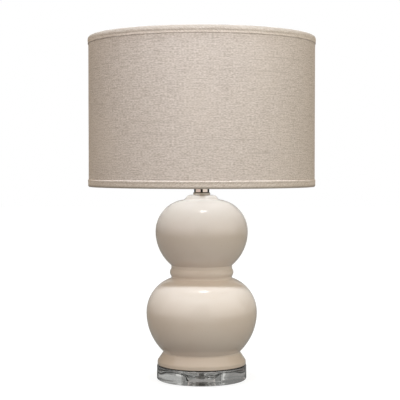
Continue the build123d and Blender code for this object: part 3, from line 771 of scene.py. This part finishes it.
fibre = plain_finish(
    "fibre board",
    (0.38, 0.29, 0.18, 1),
    (0.26, 0.19, 0.12, 1),
    (0.8, 0.95),
    grain=0.5,
    cloud_scale=90.0,
    grain_scale=900.0,
)
styrene = plain_finish(
    "white styrene",
    (0.88, 0.865, 0.83, 1),
    (0.83, 0.81, 0.77, 1),
    (0.42, 0.55),
    grain=0.25,
    cloud_scale=12.0,
    grain_scale=700.0,
)
frosted_glass = plain_finish(
    "frosted glass",
    (0.80, 0.80, 0.78, 1),
    (0.74, 0.74, 0.72, 1),
    (0.3, 0.4),
    grain=0.1,
    cloud_scale=40.0,
)
black_glass = plain_finish(
    "black glass",
    (0.03, 0.03, 0.034, 1),
    (0.012, 0.012, 0.014, 1),
    (0.1, 0.2),
    grain=0.05,
    cloud_scale=80.0,
)


# Glazed body
def arc_rise(arc_radius, bulb_max_radius, end_radius):
    """Height between a bulb's widest level and where its arc reaches end_radius."""
    across = end_radius - (bulb_max_radius - arc_radius)
    return sqrt(arc_radius**2 - across**2)


def arc_angle(arc_radius, bulb_max_radius, end_radius):
    """Angle in degrees that the arc turns from the widest level to end_radius."""
    return degrees(acos((end_radius - (bulb_max_radius - arc_radius)) / arc_radius))


foot_groove_bottom = base_top + foot_height
foot_groove_top = foot_groove_bottom + foot_groove_height
lower_bulb_level = foot_groove_top + arc_rise(
    lower_bulb_under_arc, lower_bulb_radius, foot_groove_radius
)
waist_bottom = lower_bulb_level + arc_rise(lower_bulb_over_arc, lower_bulb_radius, waist_radius)
bead_bottom = waist_bottom + waist_lower_groove_height
bead_top = bead_bottom + bead_height
waist_top = bead_top + waist_upper_groove_height
upper_bulb_level = waist_top + arc_rise(upper_bulb_under_arc, upper_bulb_radius, waist_radius)
lower_under = (lower_bulb_radius - lower_bulb_under_arc, lower_bulb_level)
lower_over = (lower_bulb_radius - lower_bulb_over_arc, lower_bulb_level)
upper_under = (upper_bulb_radius - upper_bulb_under_arc, upper_bulb_level)
upper_over = (upper_bulb_radius - upper_bulb_over_arc, upper_bulb_level)


def bead_arc(proud, height):
    """Radius of a bead's arc, and how far it turns in degrees."""
    radius = (height**2 / 4 + proud**2) / (2 * proud)
    return radius, 2 * degrees(asin(height / 2 / radius))


def glazed_body_mesh():
    """Foot, two bulbs, bead and collar outside, and one wall further in the cavity."""
    cavity_floor = base_top + floor_thickness
    cavity_ceiling = upper_bulb_level + upper_bulb_over_arc - wall
    cavity_waist = waist_radius - wall
    cavity_groove = foot_groove_radius - wall
    section = HalfSection(rod_hole_radius, base_top + foot_recess_depth)
    section.to(foot_recess_radius, base_top + foot_recess_depth, foot_recess_round)
    section.to(foot_recess_radius, base_top, foot_recess_round)
    section.to(foot_radius, base_top, foot_edge_round)
    section.to(foot_radius, base_top + foot_side_height, foot_shoulder_round)
    section.to(foot_groove_radius, foot_groove_bottom, groove_round)
    section.to(foot_groove_radius, foot_groove_top, groove_round)
    section.arc(lower_under, arc_angle(lower_bulb_under_arc, lower_bulb_radius, foot_groove_radius))
    lower_turn = arc_angle(lower_bulb_over_arc, lower_bulb_radius, waist_radius)
    section.arc(lower_over, lower_turn, corner=waist_groove_round)
    section.to(waist_radius, bead_bottom, waist_groove_round)
    bead_radius, bead_turn = bead_arc(bead_proud, bead_height)
    bead_middle = (bead_bottom + bead_top) / 2
    bead_centre = (waist_radius + bead_proud - bead_radius, bead_middle)
    section.arc(bead_centre, bead_turn, bead_step, waist_groove_round)
    section.to(waist_radius, waist_top, waist_groove_round)
    section.arc(upper_under, arc_angle(upper_bulb_under_arc, upper_bulb_radius, waist_radius))
    upper_turn = arc_angle(upper_bulb_over_arc, upper_bulb_radius, collar_radius)
    section.arc(upper_over, upper_turn, corner=collar_root_round)
    section.to(collar_top_radius, body_top, collar_round)
    section.to(body_top_hole_radius, body_top, body_top_hole_round)
    section.to(body_top_hole_radius, cavity_ceiling)
    section.to(upper_over[0], cavity_ceiling)
    section.arc(upper_over, -90, cavity_step)
    inner_turn = arc_angle(upper_bulb_under_arc - wall, upper_bulb_radius - wall, cavity_waist)
    section.arc(upper_under, -inner_turn, cavity_step)
    inner_turn = arc_angle(lower_bulb_over_arc - wall, lower_bulb_radius - wall, cavity_waist)
    inner_rise = (lower_bulb_over_arc - wall) * sin(radians(inner_turn))
    section.to(cavity_waist, lower_bulb_level + inner_rise)
    section.arc(lower_over, -inner_turn, cavity_step)
    inner_turn = arc_angle(lower_bulb_under_arc - wall, lower_bulb_radius - wall, cavity_groove)
    section.arc(lower_under, -inner_turn, cavity_step)
    section.to(cavity_groove, foot_groove_bottom)
    section.to(foot_radius - 2 * wall, cavity_floor)
    section.to(rod_hole_radius, cavity_floor)
    section.close()
    return section.turned()


def outlet_cutter_mesh():
    """Drill with a spotface, square to the wall where the cord leaves."""
    section = HalfSection(0, -2 * wall)
    section.to(outlet_hole_radius, -2 * wall)
    section.to(outlet_hole_radius, -outlet_spotface_depth)
    section.to(outlet_spotface_radius, -outlet_spotface_depth)
    section.to(outlet_spotface_radius, wall)
    section.to(0, wall)
    drill = section.turned(outlet_turning_steps)
    drop = radians(outlet_drop_angle)
    out = Vector((0, cos(drop), -sin(drop)))
    on_glaze = Vector((0, lower_under[0], lower_bulb_level)) + out * lower_bulb_under_arc
    drill.transform(Matrix.Translation(on_glaze) @ out.to_track_quat("Z", "Y").to_matrix().to_4x4())
    drill.transform(Matrix.Scale(MM, 4))
    return drill


def drill_outlet(piece):
    """Cuts the cord outlet through the back of the body."""
    drill_data = bpy.data.meshes.new("outlet_drill")
    drill = outlet_cutter_mesh()
    drill.to_mesh(drill_data)
    drill.free()
    cutter = bpy.data.objects.new("outlet_drill", drill_data)
    bpy.context.scene.collection.objects.link(cutter)
    cut = piece.modifiers.new("cord outlet", "BOOLEAN")
    cut.object = cutter
    cut.solver = "EXACT"
    shown = piece.evaluated_get(bpy.context.evaluated_depsgraph_get())
    drilled = bpy.data.meshes.new_from_object(shown)
    piece.modifiers.clear()
    piece.data = drilled
    bpy.data.objects.remove(cutter)
    merged = bmesh.new()
    merged.from_mesh(drilled)
    bmesh.ops.dissolve_degenerate(merged, edges=merged.edges, dist=merge_distance)
    bmesh.ops.remove_doubles(merged, verts=merged.verts, dist=merge_distance)
    merged.to_mesh(drilled)
    merged.free()
    drilled.set_sharp_from_angle(angle=radians(smooth_angle))


glazed_body = finish_piece(
    "glazed_body", glazed_body_mesh(), glaze, "lamp", ["ceramic_body"]
)
drill_outlet(glazed_body)


# Clear base with its counterbored pocket, and the bumpers
def acrylic_base_mesh():
    """Disc whose pocket underneath takes the washers and nut."""
    pocket_top = base_bottom + base_pocket_depth
    disc_top = base_top - contact_gap
    section = HalfSection(rod_hole_radius, disc_top)
    section.to(base_radius, disc_top, base_edge_round)
    section.to(base_radius, base_bottom, base_edge_round)
    section.to(base_pocket_radius, base_bottom, base_pocket_round)
    section.to(base_pocket_radius, pocket_top, base_pocket_round)
    section.to(rod_hole_radius, pocket_top)
    section.close()
    return section.turned()


def bumpers_mesh():
    """One bumper, spun to its places round the base."""
    section = HalfSection(0, base_bottom)
    section.to(bumper_radius, base_bottom)
    section.to(bumper_radius, 0, bumper_round)
    section.to(0, 0)
    dome = section.turned(bumper_turning_steps)
    half_step = Matrix.Rotation(pi / bumper_count, 4, "Z")
    dome.transform(half_step @ Matrix.Translation((bumper_circle_radius, 0, 0)))
    bmesh.ops.spin(
        dome,
        geom=dome.verts[:] + dome.edges[:] + dome.faces[:],
        cent=(0, 0, 0),
        axis=(0, 0, 1),
        angle=2 * pi * (bumper_count - 1) / bumper_count,
        steps=bumper_count - 1,
        use_duplicate=True,
    )
    return dome


finish_piece("clear_base", acrylic_base_mesh(), acrylic, "lamp", ["base_disc"])
finish_piece("bumpers", bumpers_mesh(), soft_bumper, "lamp", ["base_bumpers"])


# Polished ring and neck
def seat_ring_mesh():
    """Ring with a spigot that centres it in the body."""
    section = HalfSection(rod_hole_radius, ring_top)
    section.to(ring_radius, ring_top, ring_edge_round)
    section.to(ring_radius, body_top, ring_edge_round)
    section.to(ring_spigot_radius, body_top)
    section.to(ring_spigot_radius, bottom_of("seat_ring"), ring_spigot_round)
    section.to(rod_hole_radius, bottom_of("seat_ring"))
    section.close()
    return section.turned(metal_turning_steps)


def neck_mesh():
    """Cup, open below, with the rod through its web."""
    section = HalfSection(rod_hole_radius, neck_top)
    section.to(neck_radius, neck_top, neck_edge_round)
    section.to(neck_radius, ring_top, neck_foot_round)
    section.to(neck_radius - neck_wall, ring_top)
    section.to(neck_radius - neck_wall, neck_top - neck_web)
    section.to(rod_hole_radius, neck_top - neck_web)
    section.close()
    return section.turned(metal_turning_steps)


finish_piece(
    "polished_ring", seat_ring_mesh(), ring_metal, "lamp", ["seat_ring"]
)
finish_piece("polished_neck", neck_mesh(), polished_neck, "lamp", ["neck"])


# Hollow rod
def rod_mesh():
    """Tube with a thread at both ends."""
    bottom = bottom_of("threaded_rod")
    top = top_of("threaded_rod")
    core = rod_radius - rod_thread_depth
    rod = turned_tube(core, rod_bore_radius, bottom, top, rod_turning_steps)
    for start in (bottom, top - (rod_thread_turns + 1) * rod_pitch):
        cut_thread(
            rod,
            rod_radius,
            rod_thread_depth,
            rod_pitch,
            start,
            rod_thread_turns,
            rod_turning_steps,
        )
    return rod


finish_piece("lamp_rod", rod_mesh(), zinc, "lamp", ["threaded_rod"])


# Swivel stud and the finial that screws on it
def stud_mesh():
    """Rivet and shoulder that hold the harp's eye, and the thread above."""
    eye_top = top_of("harp_wire")
    rivet_top = eye_top - eye_height - eye_gap
    rivet_bottom = rivet_top - stud_rivet_thickness
    seat = eye_top + stud_shoulder_thickness
    core = stud_radius - stud_thread_depth
    section = HalfSection(0, rivet_bottom)
    section.to(stud_rivet_radius, rivet_bottom, stud_rivet_round)
    section.to(stud_rivet_radius, rivet_top, crease_round)
    section.to(stud_radius, rivet_top)
    section.to(stud_radius, eye_top + eye_gap)
    section.to(stud_shoulder_radius, eye_top + eye_gap, stud_shoulder_round)
    section.to(stud_shoulder_radius, seat, stud_edge_round)
    section.to(core, seat)
    section.to(core, seat + stud_thread_length, stud_edge_round)
    section.to(0, seat + stud_thread_length)
    stud = section.turned(stud_turning_steps)
    cut_thread(
        stud,
        stud_radius,
        stud_thread_depth,
        rod_pitch,
        seat + stud_thread_start,
        stud_thread_turns,
        rod_turning_steps,
    )
    return stud


def finial_mesh():
    """Seat, stem, bead and ball, bored for the insert."""
    bottom = bottom_of("finial_knob")
    seat_top = bottom + finial_seat_height
    bead_low = seat_top + finial_stem_height
    bead_high = bead_low + finial_bead_height
    ball_level = bead_high + sqrt(finial_ball_radius**2 - finial_stem_radius**2)
    ball_turn = degrees(acos(finial_stem_radius / finial_ball_radius))
    bead_radius, bead_turn = bead_arc(finial_bead_proud, finial_bead_height)
    section = HalfSection(0, bottom + stud_thread_length)
    section.to(finial_bore_radius, bottom + stud_thread_length)
    section.to(finial_bore_radius, bottom, crease_round)
    section.to(finial_seat_radius, bottom, finial_foot_round)
    section.to(finial_seat_radius, seat_top, finial_seat_round)
    section.to(finial_stem_radius, seat_top, finial_stem_round)
    section.to(finial_stem_radius, bead_low, crease_round)
    bead_centre = (finial_stem_radius + finial_bead_proud - bead_radius, (bead_low + bead_high) / 2)
    section.arc(bead_centre, bead_turn, finial_bead_step, crease_round)
    section.arc((0, ball_level), 90 + ball_turn, finial_ball_step)
    section.to(0, section.last.co.z)
    return section.turned(knob_turning_steps)


finish_piece("swivel_stud", stud_mesh(), satin_nickel, "shade", ["harp_stud"])
finish_piece(
    "turned_finial", finial_mesh(), polished_nickel, "finial", ["finial_knob"]
)


# Bulb
def globe_mesh():
    """Ball that flares down into its neck."""
    foot = bottom_of("bulb_globe")
    top = top_of("bulb_globe")
    centre = top - bulb_radius
    flare_reach = bulb_radius + bulb_flare_radius
    flare_turn = degrees(acos((bulb_neck_radius + bulb_flare_radius) / flare_reach))
    flare_drop = flare_reach * sin(radians(flare_turn))
    section = HalfSection(0, foot)
    section.to(bulb_neck_radius, foot)
    section.to(bulb_neck_radius, centre - flare_drop)
    flare_centre = (bulb_neck_radius + bulb_flare_radius, centre - flare_drop)
    section.arc(flare_centre, -flare_turn, globe_step)
    section.arc((0, centre), 90 + flare_turn, globe_step)
    return section.turned(knob_turning_steps)


def bulb_base_mesh():
    """Threaded base with a collar at its top."""
    bottom = bottom_of("bulb_screw_base")
    top = top_of("bulb_screw_base")
    core = bulb_shell_radius - bulb_thread_depth
    section = HalfSection(0, bottom)
    section.to(core - bulb_base_chamfer, bottom)
    section.to(core, bottom + bulb_base_chamfer, bulb_base_round)
    section.to(core, top - bulb_collar_root_height, bulb_collar_root_round)
    section.to(bulb_shell_radius, top - bulb_collar_height, bulb_collar_round)
    section.to(bulb_shell_radius, top, bulb_collar_round)
    section.to(0, top)
    base = section.turned(small_turning_steps)
    cut_thread(
        base,
        bulb_shell_radius,
        bulb_thread_depth,
        bulb_thread_pitch,
        bottom + bulb_thread_start,
        bulb_thread_turns,
        bulb_thread_steps,
    )
    return base


finish_piece("bulb", globe_mesh(), frosted_glass, "bulb", ["bulb_globe"])
finish_piece(
    "bulb_base", bulb_base_mesh(), satin_nickel, "bulb", ["bulb_screw_base"]
)


# Linen drum on its stiff liner
def linen_drum_mesh():
    """A flat strip of linen, rolled round the liner with its overlap at the back."""
    bottom = bottom_of("shade_fabric")
    height = top_of("shade_fabric") - bottom
    length = 2 * pi * linen_middle_radius + seam_overlap
    strip = bmesh.new()
    bmesh.ops.create_grid(
        strip,
        x_segments=drum_columns,
        y_segments=drum_rows,
        size=0.5,
        matrix=Matrix.Diagonal((length, height, 1, 1)),
    )
    layer = strip.loops.layers.uv.new("cloth")
    for face in strip.faces:
        for loop in face.loops:
            loop[layer].uv = (loop.vert.co.x * MM, loop.vert.co.y * MM)
    for vert in strip.verts:
        along = vert.co.x + length / 2
        lap = (along - (length - seam_overlap - seam_ramp)) / seam_ramp
        rise = linen_thickness * seam_lift * min(max(lap, 0), 1)
        spot = Vector((along / puff_length, vert.co.y / puff_height, 3.1))
        puff = linen_puff * max(0, noise.noise(spot))
        angle = along / linen_middle_radius
        radius = linen_middle_radius + rise + puff
        up = vert.co.y + height / 2 + bottom
        vert.co = (-radius * sin(angle), radius * cos(angle), up)
    return strip, (length * MM, height * MM)


def tape_fold(way, roll):
    """Where a point of the binding tape lies: its radius, and its depth below the rim.

    roll is how far the tape curves inwards and downwards where it turns over the rim."""
    inwards, downwards = roll
    outer = shade_radius + tape_proud
    quarter = (inwards + downwards) * pi / 4
    way -= trim_height - downwards
    if way < 0:
        return outer, downwards - way
    if way < quarter:
        turn = way / quarter * pi / 2
        return outer - inwards * (1 - cos(turn)), downwards * (1 - sin(turn))
    way -= quarter
    across = outer - trim_bore_radius - 2 * inwards
    if way < across:
        return outer - inwards - way, 0.0
    way -= across
    if way < quarter:
        turn = way / quarter * pi / 2
        return trim_bore_radius + inwards * (1 - sin(turn)), downwards * (1 - cos(turn))
    return trim_bore_radius, downwards + way - quarter


def tape_rise(angle, depth, ditch):
    """How far the tape's outer leg stands off its plain fold: hem, ditch and wrinkles."""
    ring = Vector((sin(angle), cos(angle), 0)) * shade_radius
    swung = angle + depth * wrinkle_slant / shade_radius
    slant = Vector((sin(swung), cos(swung), 0)) * shade_radius
    hem = max(0.0, depth - trim_height + tape_hem) / tape_hem
    level, rim_reach, hem_reach, deep, shallow = ditch
    level += ditch_wander * noise.noise(ring / wander_length)
    reach = rim_reach if depth < level else hem_reach
    slack = 0.5 + 0.5 * cos(2 * angle) + 0.9 * noise.noise(ring / slack_length)
    pressed = shallow + (deep - shallow) * min(max(slack, 0.0), 1.0)
    in_wrinkle = slant / wrinkle_length + Vector((0, 0, depth / wrinkle_height))
    in_crumple = ring / crumple_length + Vector((0, 0, depth / crumple_length))
    uneven = wrinkle_depth * noise.noise(in_wrinkle) + crumple_depth * noise.noise(in_crumple)
    return uneven - hem_roll * hem**2 - pressed * exp(-(((depth - level) / reach) ** 2))


def folded_binding_mesh(rim, inward, roll, ditch):
    """Linen tape folded over the drum's edge. inward is the way to mid drum, +1 or -1."""
    inwards, downwards = roll
    legs = trim_height + trim_inner_height - 2 * downwards
    across = shade_radius + tape_proud - trim_bore_radius - 2 * inwards
    width = legs + across + (inwards + downwards) * pi / 2
    length = 2 * pi * shade_radius
    tape = bmesh.new()
    bmesh.ops.create_grid(
        tape,
        x_segments=tape_columns,
        y_segments=tape_rows,
        size=0.5,
        matrix=Matrix.Diagonal((length, width, 1, 1)),
    )
    layer = tape.loops.layers.uv.new("cloth")
    bias = Matrix.Rotation(radians(tape_bias), 2)
    for face in tape.faces:
        for loop in face.loops:
            loop[layer].uv = bias @ loop.vert.co.xy * MM
    for vert in tape.verts:
        angle = vert.co.x / shade_radius
        radius, depth = tape_fold(vert.co.y + width / 2, roll)
        if radius > shade_radius:
            radius += tape_rise(angle, depth, ditch)
        vert.co = (radius * sin(angle), -radius * cos(angle), rim + inward * depth)
    if inward > 0:
        bmesh.ops.reverse_faces(tape, faces=tape.faces)
    bmesh.ops.remove_doubles(tape, verts=tape.verts, dist=seam_weld)
    return tape


def give_thickness(piece, depth, offset):
    """Gives a cloth piece its thickness, in millimetres."""
    thickness = piece.modifiers.new("thickness", "SOLIDIFY")
    thickness.thickness = depth * MM
    thickness.offset = offset


def liner_mesh():
    """Stiff tube that the linen is stretched on."""
    return turned_tube(
        liner_radius, liner_bore_radius, bottom_of("shade_liner"), top_of("shade_liner")
    )


finish_piece("drum_liner", liner_mesh(), styrene, "shade", ["shade_liner"])
drum_strip, linen_cut = linen_drum_mesh()
linen_drum = finish_piece("linen_drum", drum_strip, linen, "shade", ["shade_fabric"])
give_thickness(linen_drum, linen_thickness, 0)
top_binding = finish_piece(
    "top_binding",
    folded_binding_mesh(shade_rim, -1, top_roll, top_ditch),
    binding_linen,
    "shade",
    ["shade_top_trim"],
)
bottom_binding = finish_piece(
    "bottom_binding",
    folded_binding_mesh(shade_foot, 1, bottom_roll, bottom_ditch),
    binding_linen,
    "shade",
    ["shade_bottom_trim"],
)
give_thickness(top_binding, tape_thickness, -1)
give_thickness(bottom_binding, tape_thickness, -1)

# CAD pieces that keep their shape, with their finishes
kept_nodes = {
    "cord_bushing": white_plastic,
    "base_washer": zinc,
    "base_lock_washer": zinc,
    "base_nut": zinc,
    "harp_saddle": satin_nickel,
    "harp_wire": satin_nickel,
    "harp_sleeve_left": satin_nickel,
    "harp_sleeve_right": satin_nickel,
    "socket_cap": satin_nickel,
    "cap_set_screw": zinc,
    "socket_shell": satin_nickel,
    "socket_paper_sleeve": fibre,
    "socket_interior": black_phenolic,
    "terminal_screws": brass,
    "screw_shell": brass,
    "centre_contact": brass,
    "switch_shaft": zinc,
    "switch_knob": black_phenolic,
    "bulb_insulator": black_glass,
    "bulb_tip": zinc,
    "shade_spider": satin_nickel,
    "shade_bottom_ring": satin_nickel,
    "finial_insert": brass,
}
for node_name, finish in kept_nodes.items():
    shown_node = frame["nodes"][node_name]
    shown_node.data.materials.clear()
    shown_node.data.materials.append(finish)
    shown_node.data.shade_smooth()
    shown_node.modifiers.new("joined triangles", "WELD").merge_threshold = merge_distance
    creases = shown_node.modifiers.new("creases", "EDGE_SPLIT")
    creases.split_angle = radians(smooth_angle)


# Stage: floor, white background, soft boxes and cards. Its sizes are in metres
card_distance = 2.4
front_card_top = 2.0
low_card_top = 0.36
back_card_top = 2.6
neck_card_distance = 0.11
neck_card_gap = 0.0025
table_card_level = 0.0004
under_card_radius = 0.078
# Outer edges of the painted contact shadow on the table cards, and of its fading ring
contact_shadow_radius = 0.113
shadow_fade_radius = 0.13
camera_tilt = 1.855


def seen_rays(tree):
    """1 for rays that show the background to the camera, plainly, mirrored or through glass."""
    path = tree.nodes.new("ShaderNodeLightPath")
    mirrored = maths(tree, "MAXIMUM", path.outputs["Is Camera Ray"], path.outputs["Is Glossy Ray"])
    return maths(tree, "MAXIMUM", mirrored, path.outputs["Is Transmission Ray"])


def light_the_room():
    """A white background, and a warm fill for matt surfaces."""
    world = bpy.data.worlds.new("studio")
    bpy.context.scene.world = world
    world.use_nodes = True
    tree = world.node_tree
    tree.nodes.clear()
    fill = place(tree, "ShaderNodeBackground", {"Color": (1.0, 0.89, 0.65, 1.0), "Strength": 0.65})
    white = place(tree, "ShaderNodeBackground", {"Color": (1.0, 1.0, 1.0, 1.0), "Strength": 1.0})
    both = place(
        tree, "ShaderNodeMixShader", {0: seen_rays(tree), 1: fill.outputs[0], 2: white.outputs[0]}
    )
    place(tree, "ShaderNodeOutputWorld", {"Surface": both.outputs[0]})


def lay_floor():
    """A matt floor that shows white and keeps the lamp's shadow."""
    ground = bmesh.new()
    bmesh.ops.create_grid(ground, x_segments=1, y_segments=1, size=8.0)
    data = bpy.data.meshes.new("floor")
    ground.to_mesh(data)
    ground.free()
    finish, tree, shader, _ = new_finish("floor")
    shader.inputs["Base Color"].default_value = (0.15, 0.15, 0.15, 1.0)
    shader.inputs["Roughness"].default_value = 0.9
    shader.inputs["Specular IOR Level"].default_value = 0.1
    shader.inputs["Emission Color"].default_value = (1.0, 1.0, 1.0, 1.0)
    glow = maths(tree, "MULTIPLY", seen_rays(tree), 0.9)
    tree.links.new(glow, shader.inputs["Emission Strength"])
    data.materials.append(finish)
    floor = bpy.data.objects.new("floor", data)
    bpy.context.scene.collection.objects.link(floor)


def softbox(name, spot, aim, width, height, watts, colour):
    """A soft rectangular light at spot, facing aim. Gloss and glass show the cards instead."""
    lamp = bpy.data.lights.new(name, "AREA")
    lamp.shape = "RECTANGLE"
    lamp.size = width
    lamp.size_y = height
    lamp.energy = watts
    lamp.color = colour
    holder = bpy.data.objects.new(name, lamp)
    holder.location = spot
    holder.rotation_euler = (Vector(aim) - Vector(spot)).to_track_quat("-Z", "Y").to_euler()
    holder.visible_camera = False
    holder.visible_glossy = False
    holder.visible_transmission = False
    bpy.context.scene.collection.objects.link(holder)


def studio_card(name, card, tone, strength=1.0):
    """A card that only mirrors and glass see, of one even tone."""
    data = bpy.data.meshes.new(name)
    card.to_mesh(data)
    card.free()
    finish = bpy.data.materials.new(name)
    finish.use_nodes = True
    tree = finish.node_tree
    tree.nodes.clear()
    glow = place(tree, "ShaderNodeEmission", {"Color": (*tone, 1.0), "Strength": strength})
    place(tree, "ShaderNodeOutputMaterial", {"Surface": glow.outputs[0]})
    data.materials.append(finish)
    holder = bpy.data.objects.new(name, data)
    bpy.context.scene.collection.objects.link(holder)
    holder.visible_camera = False
    holder.visible_diffuse = False
    holder.visible_shadow = False


def curved_card(name, start, end, bottom, top, tone, distance=card_distance):
    """A card curved round the lamp. start and end are degrees from the front, rightwards."""
    card = bmesh.new()
    low = card.verts.new((0, -distance, bottom))
    high = card.verts.new((0, -distance, top))
    upright = card.edges.new((low, high))
    to_start = Matrix.Rotation(radians(start), 3, "Z")
    bmesh.ops.rotate(card, verts=card.verts, cent=(0, 0, 0), matrix=to_start)
    bmesh.ops.spin(
        card,
        geom=[low, high, upright],
        cent=(0, 0, 0),
        axis=(0, 0, 1),
        angle=radians(end - start),
        steps=max(2, round((end - start) / 5)),
    )
    studio_card(name, card, tone)


def table_card(name, inner, outer, tone):
    """A ring just over the floor, so that gloss and glass see a darker table."""
    card = bmesh.new()
    near = card.verts.new((inner, 0, table_card_level))
    far = card.verts.new((outer, 0, table_card_level))
    ray = card.edges.new((near, far))
    bmesh.ops.spin(
        card,
        geom=[near, far, ray],
        cent=(0, 0, 0),
        axis=(0, 0, 1),
        angle=2 * pi,
        steps=64,
        use_merge=True,
    )
    studio_card(name, card, tone)


def ceiling_card(name, spot, width, depth, strength):
    """A bright level card overhead, which gloss shows as one small highlight."""
    card = bmesh.new()
    level = Matrix.Translation(spot) @ Matrix.Diagonal((width, depth, 1, 1))
    bmesh.ops.create_grid(card, x_segments=1, y_segments=1, size=0.5, matrix=level)
    studio_card(name, card, (1.0, 1.0, 1.0), strength)


light_the_room()
lay_floor()
lamp_middle = (0.0, 0.0, 0.33)
under_shade = (0.0, -0.05, 0.3)
softbox("right_box", (1.1, -1.65, 0.8), lamp_middle, 1.0, 1.2, 8.3, (0.96, 1.0, 0.92))
softbox("left_box", (-0.8, -1.35, 0.95), lamp_middle, 0.9, 0.3, 2.3, (0.88, 0.87, 1.0))
softbox("front_box", (0.0, -0.6, 1.25), (0.0, -0.2, 0.55), 0.5, 0.25, 3.2, (0.87, 0.94, 1.0))
softbox("top_box", (-0.02, -0.36, 2.6), under_shade, 0.24, 0.14, 46.5, (0.76, 0.9, 1.0))
softbox("back_box", (0.0, 1.9, 1.0), lamp_middle, 1.2, 1.2, 13.0, (0.85, 0.92, 1.0))
left_beige = (0.82, 0.69, 0.645)
right_beige = (1.0, 0.91, 0.85)
grey = (0.26, 0.26, 0.25)
dark = (0.02, 0.02, 0.02)
dusk = (0.2, 0.2, 0.195)
low_glow = (0.42, 0.42, 0.41)
curved_card("card_front", -17, 17, 0.0, front_card_top, dark)
curved_card("card_right", 17, 95, 0.0, front_card_top, right_beige)
curved_card("card_left", -95, -17, 0.0, front_card_top, left_beige)
curved_card("card_right_back", 95, 165, 0.0, low_card_top, low_glow)
curved_card("card_left_back", -165, -120, 0.0, low_card_top, dusk)
curved_card("card_left_edge", -120, -95, 0.0, low_card_top, low_glow)
back_tones = [
    (95, 142, 0.22),
    (142, 153, 0.16),
    (153, 158, 0.27),
    (158, 164, 0.62),
    (164, 170, 0.27),
    (170, 193, 0.35),
    (193, 200, 0.62),
    (200, 204, 0.3),
    (204, 265, 0.23),
]
for start, end, tone in back_tones:
    back_grey = (tone, tone, tone * 0.97)
    curved_card(f"card_back_{start}", start, end, low_card_top, back_card_top, back_grey)
curved_card("card_behind", 165, 195, 0.0, low_card_top, grey)
neck_card_bottom = body_top * MM + neck_card_gap
curved_card("card_neck", 100, 260, neck_card_bottom, shade_foot * MM, dark, neck_card_distance)
ceiling_card("card_above", (0.14, -0.37, 2.6), 0.5, 0.26, 14.0)
table_card("card_under", 0.001, under_card_radius, (0.3, 0.29, 0.28))
# Painted contact shadow that glass and gloss see round the base: a near-black ring at its edge,
# then a dark ring fading out to the table's grey
table_card("card_contact_shadow", under_card_radius, contact_shadow_radius, (0.01, 0.01, 0.01))
table_card("card_shadow_fade", contact_shadow_radius, shadow_fade_radius, (0.14, 0.14, 0.13))
table_card("card_table", shadow_fade_radius, card_distance, (0.3, 0.3, 0.29))

camera = bpy.data.objects.new("camera", bpy.data.cameras.new("camera"))
camera.data.lens = 101.28
camera.data.sensor_width = 36.0
camera.location = (-0.003, -2.0139, 0.387)
camera.rotation_euler = (radians(90 - camera_tilt), 0, 0)
bpy.context.scene.collection.objects.link(camera)
bpy.context.scene.camera = camera
bpy.context.scene.view_settings.view_transform = "Standard"
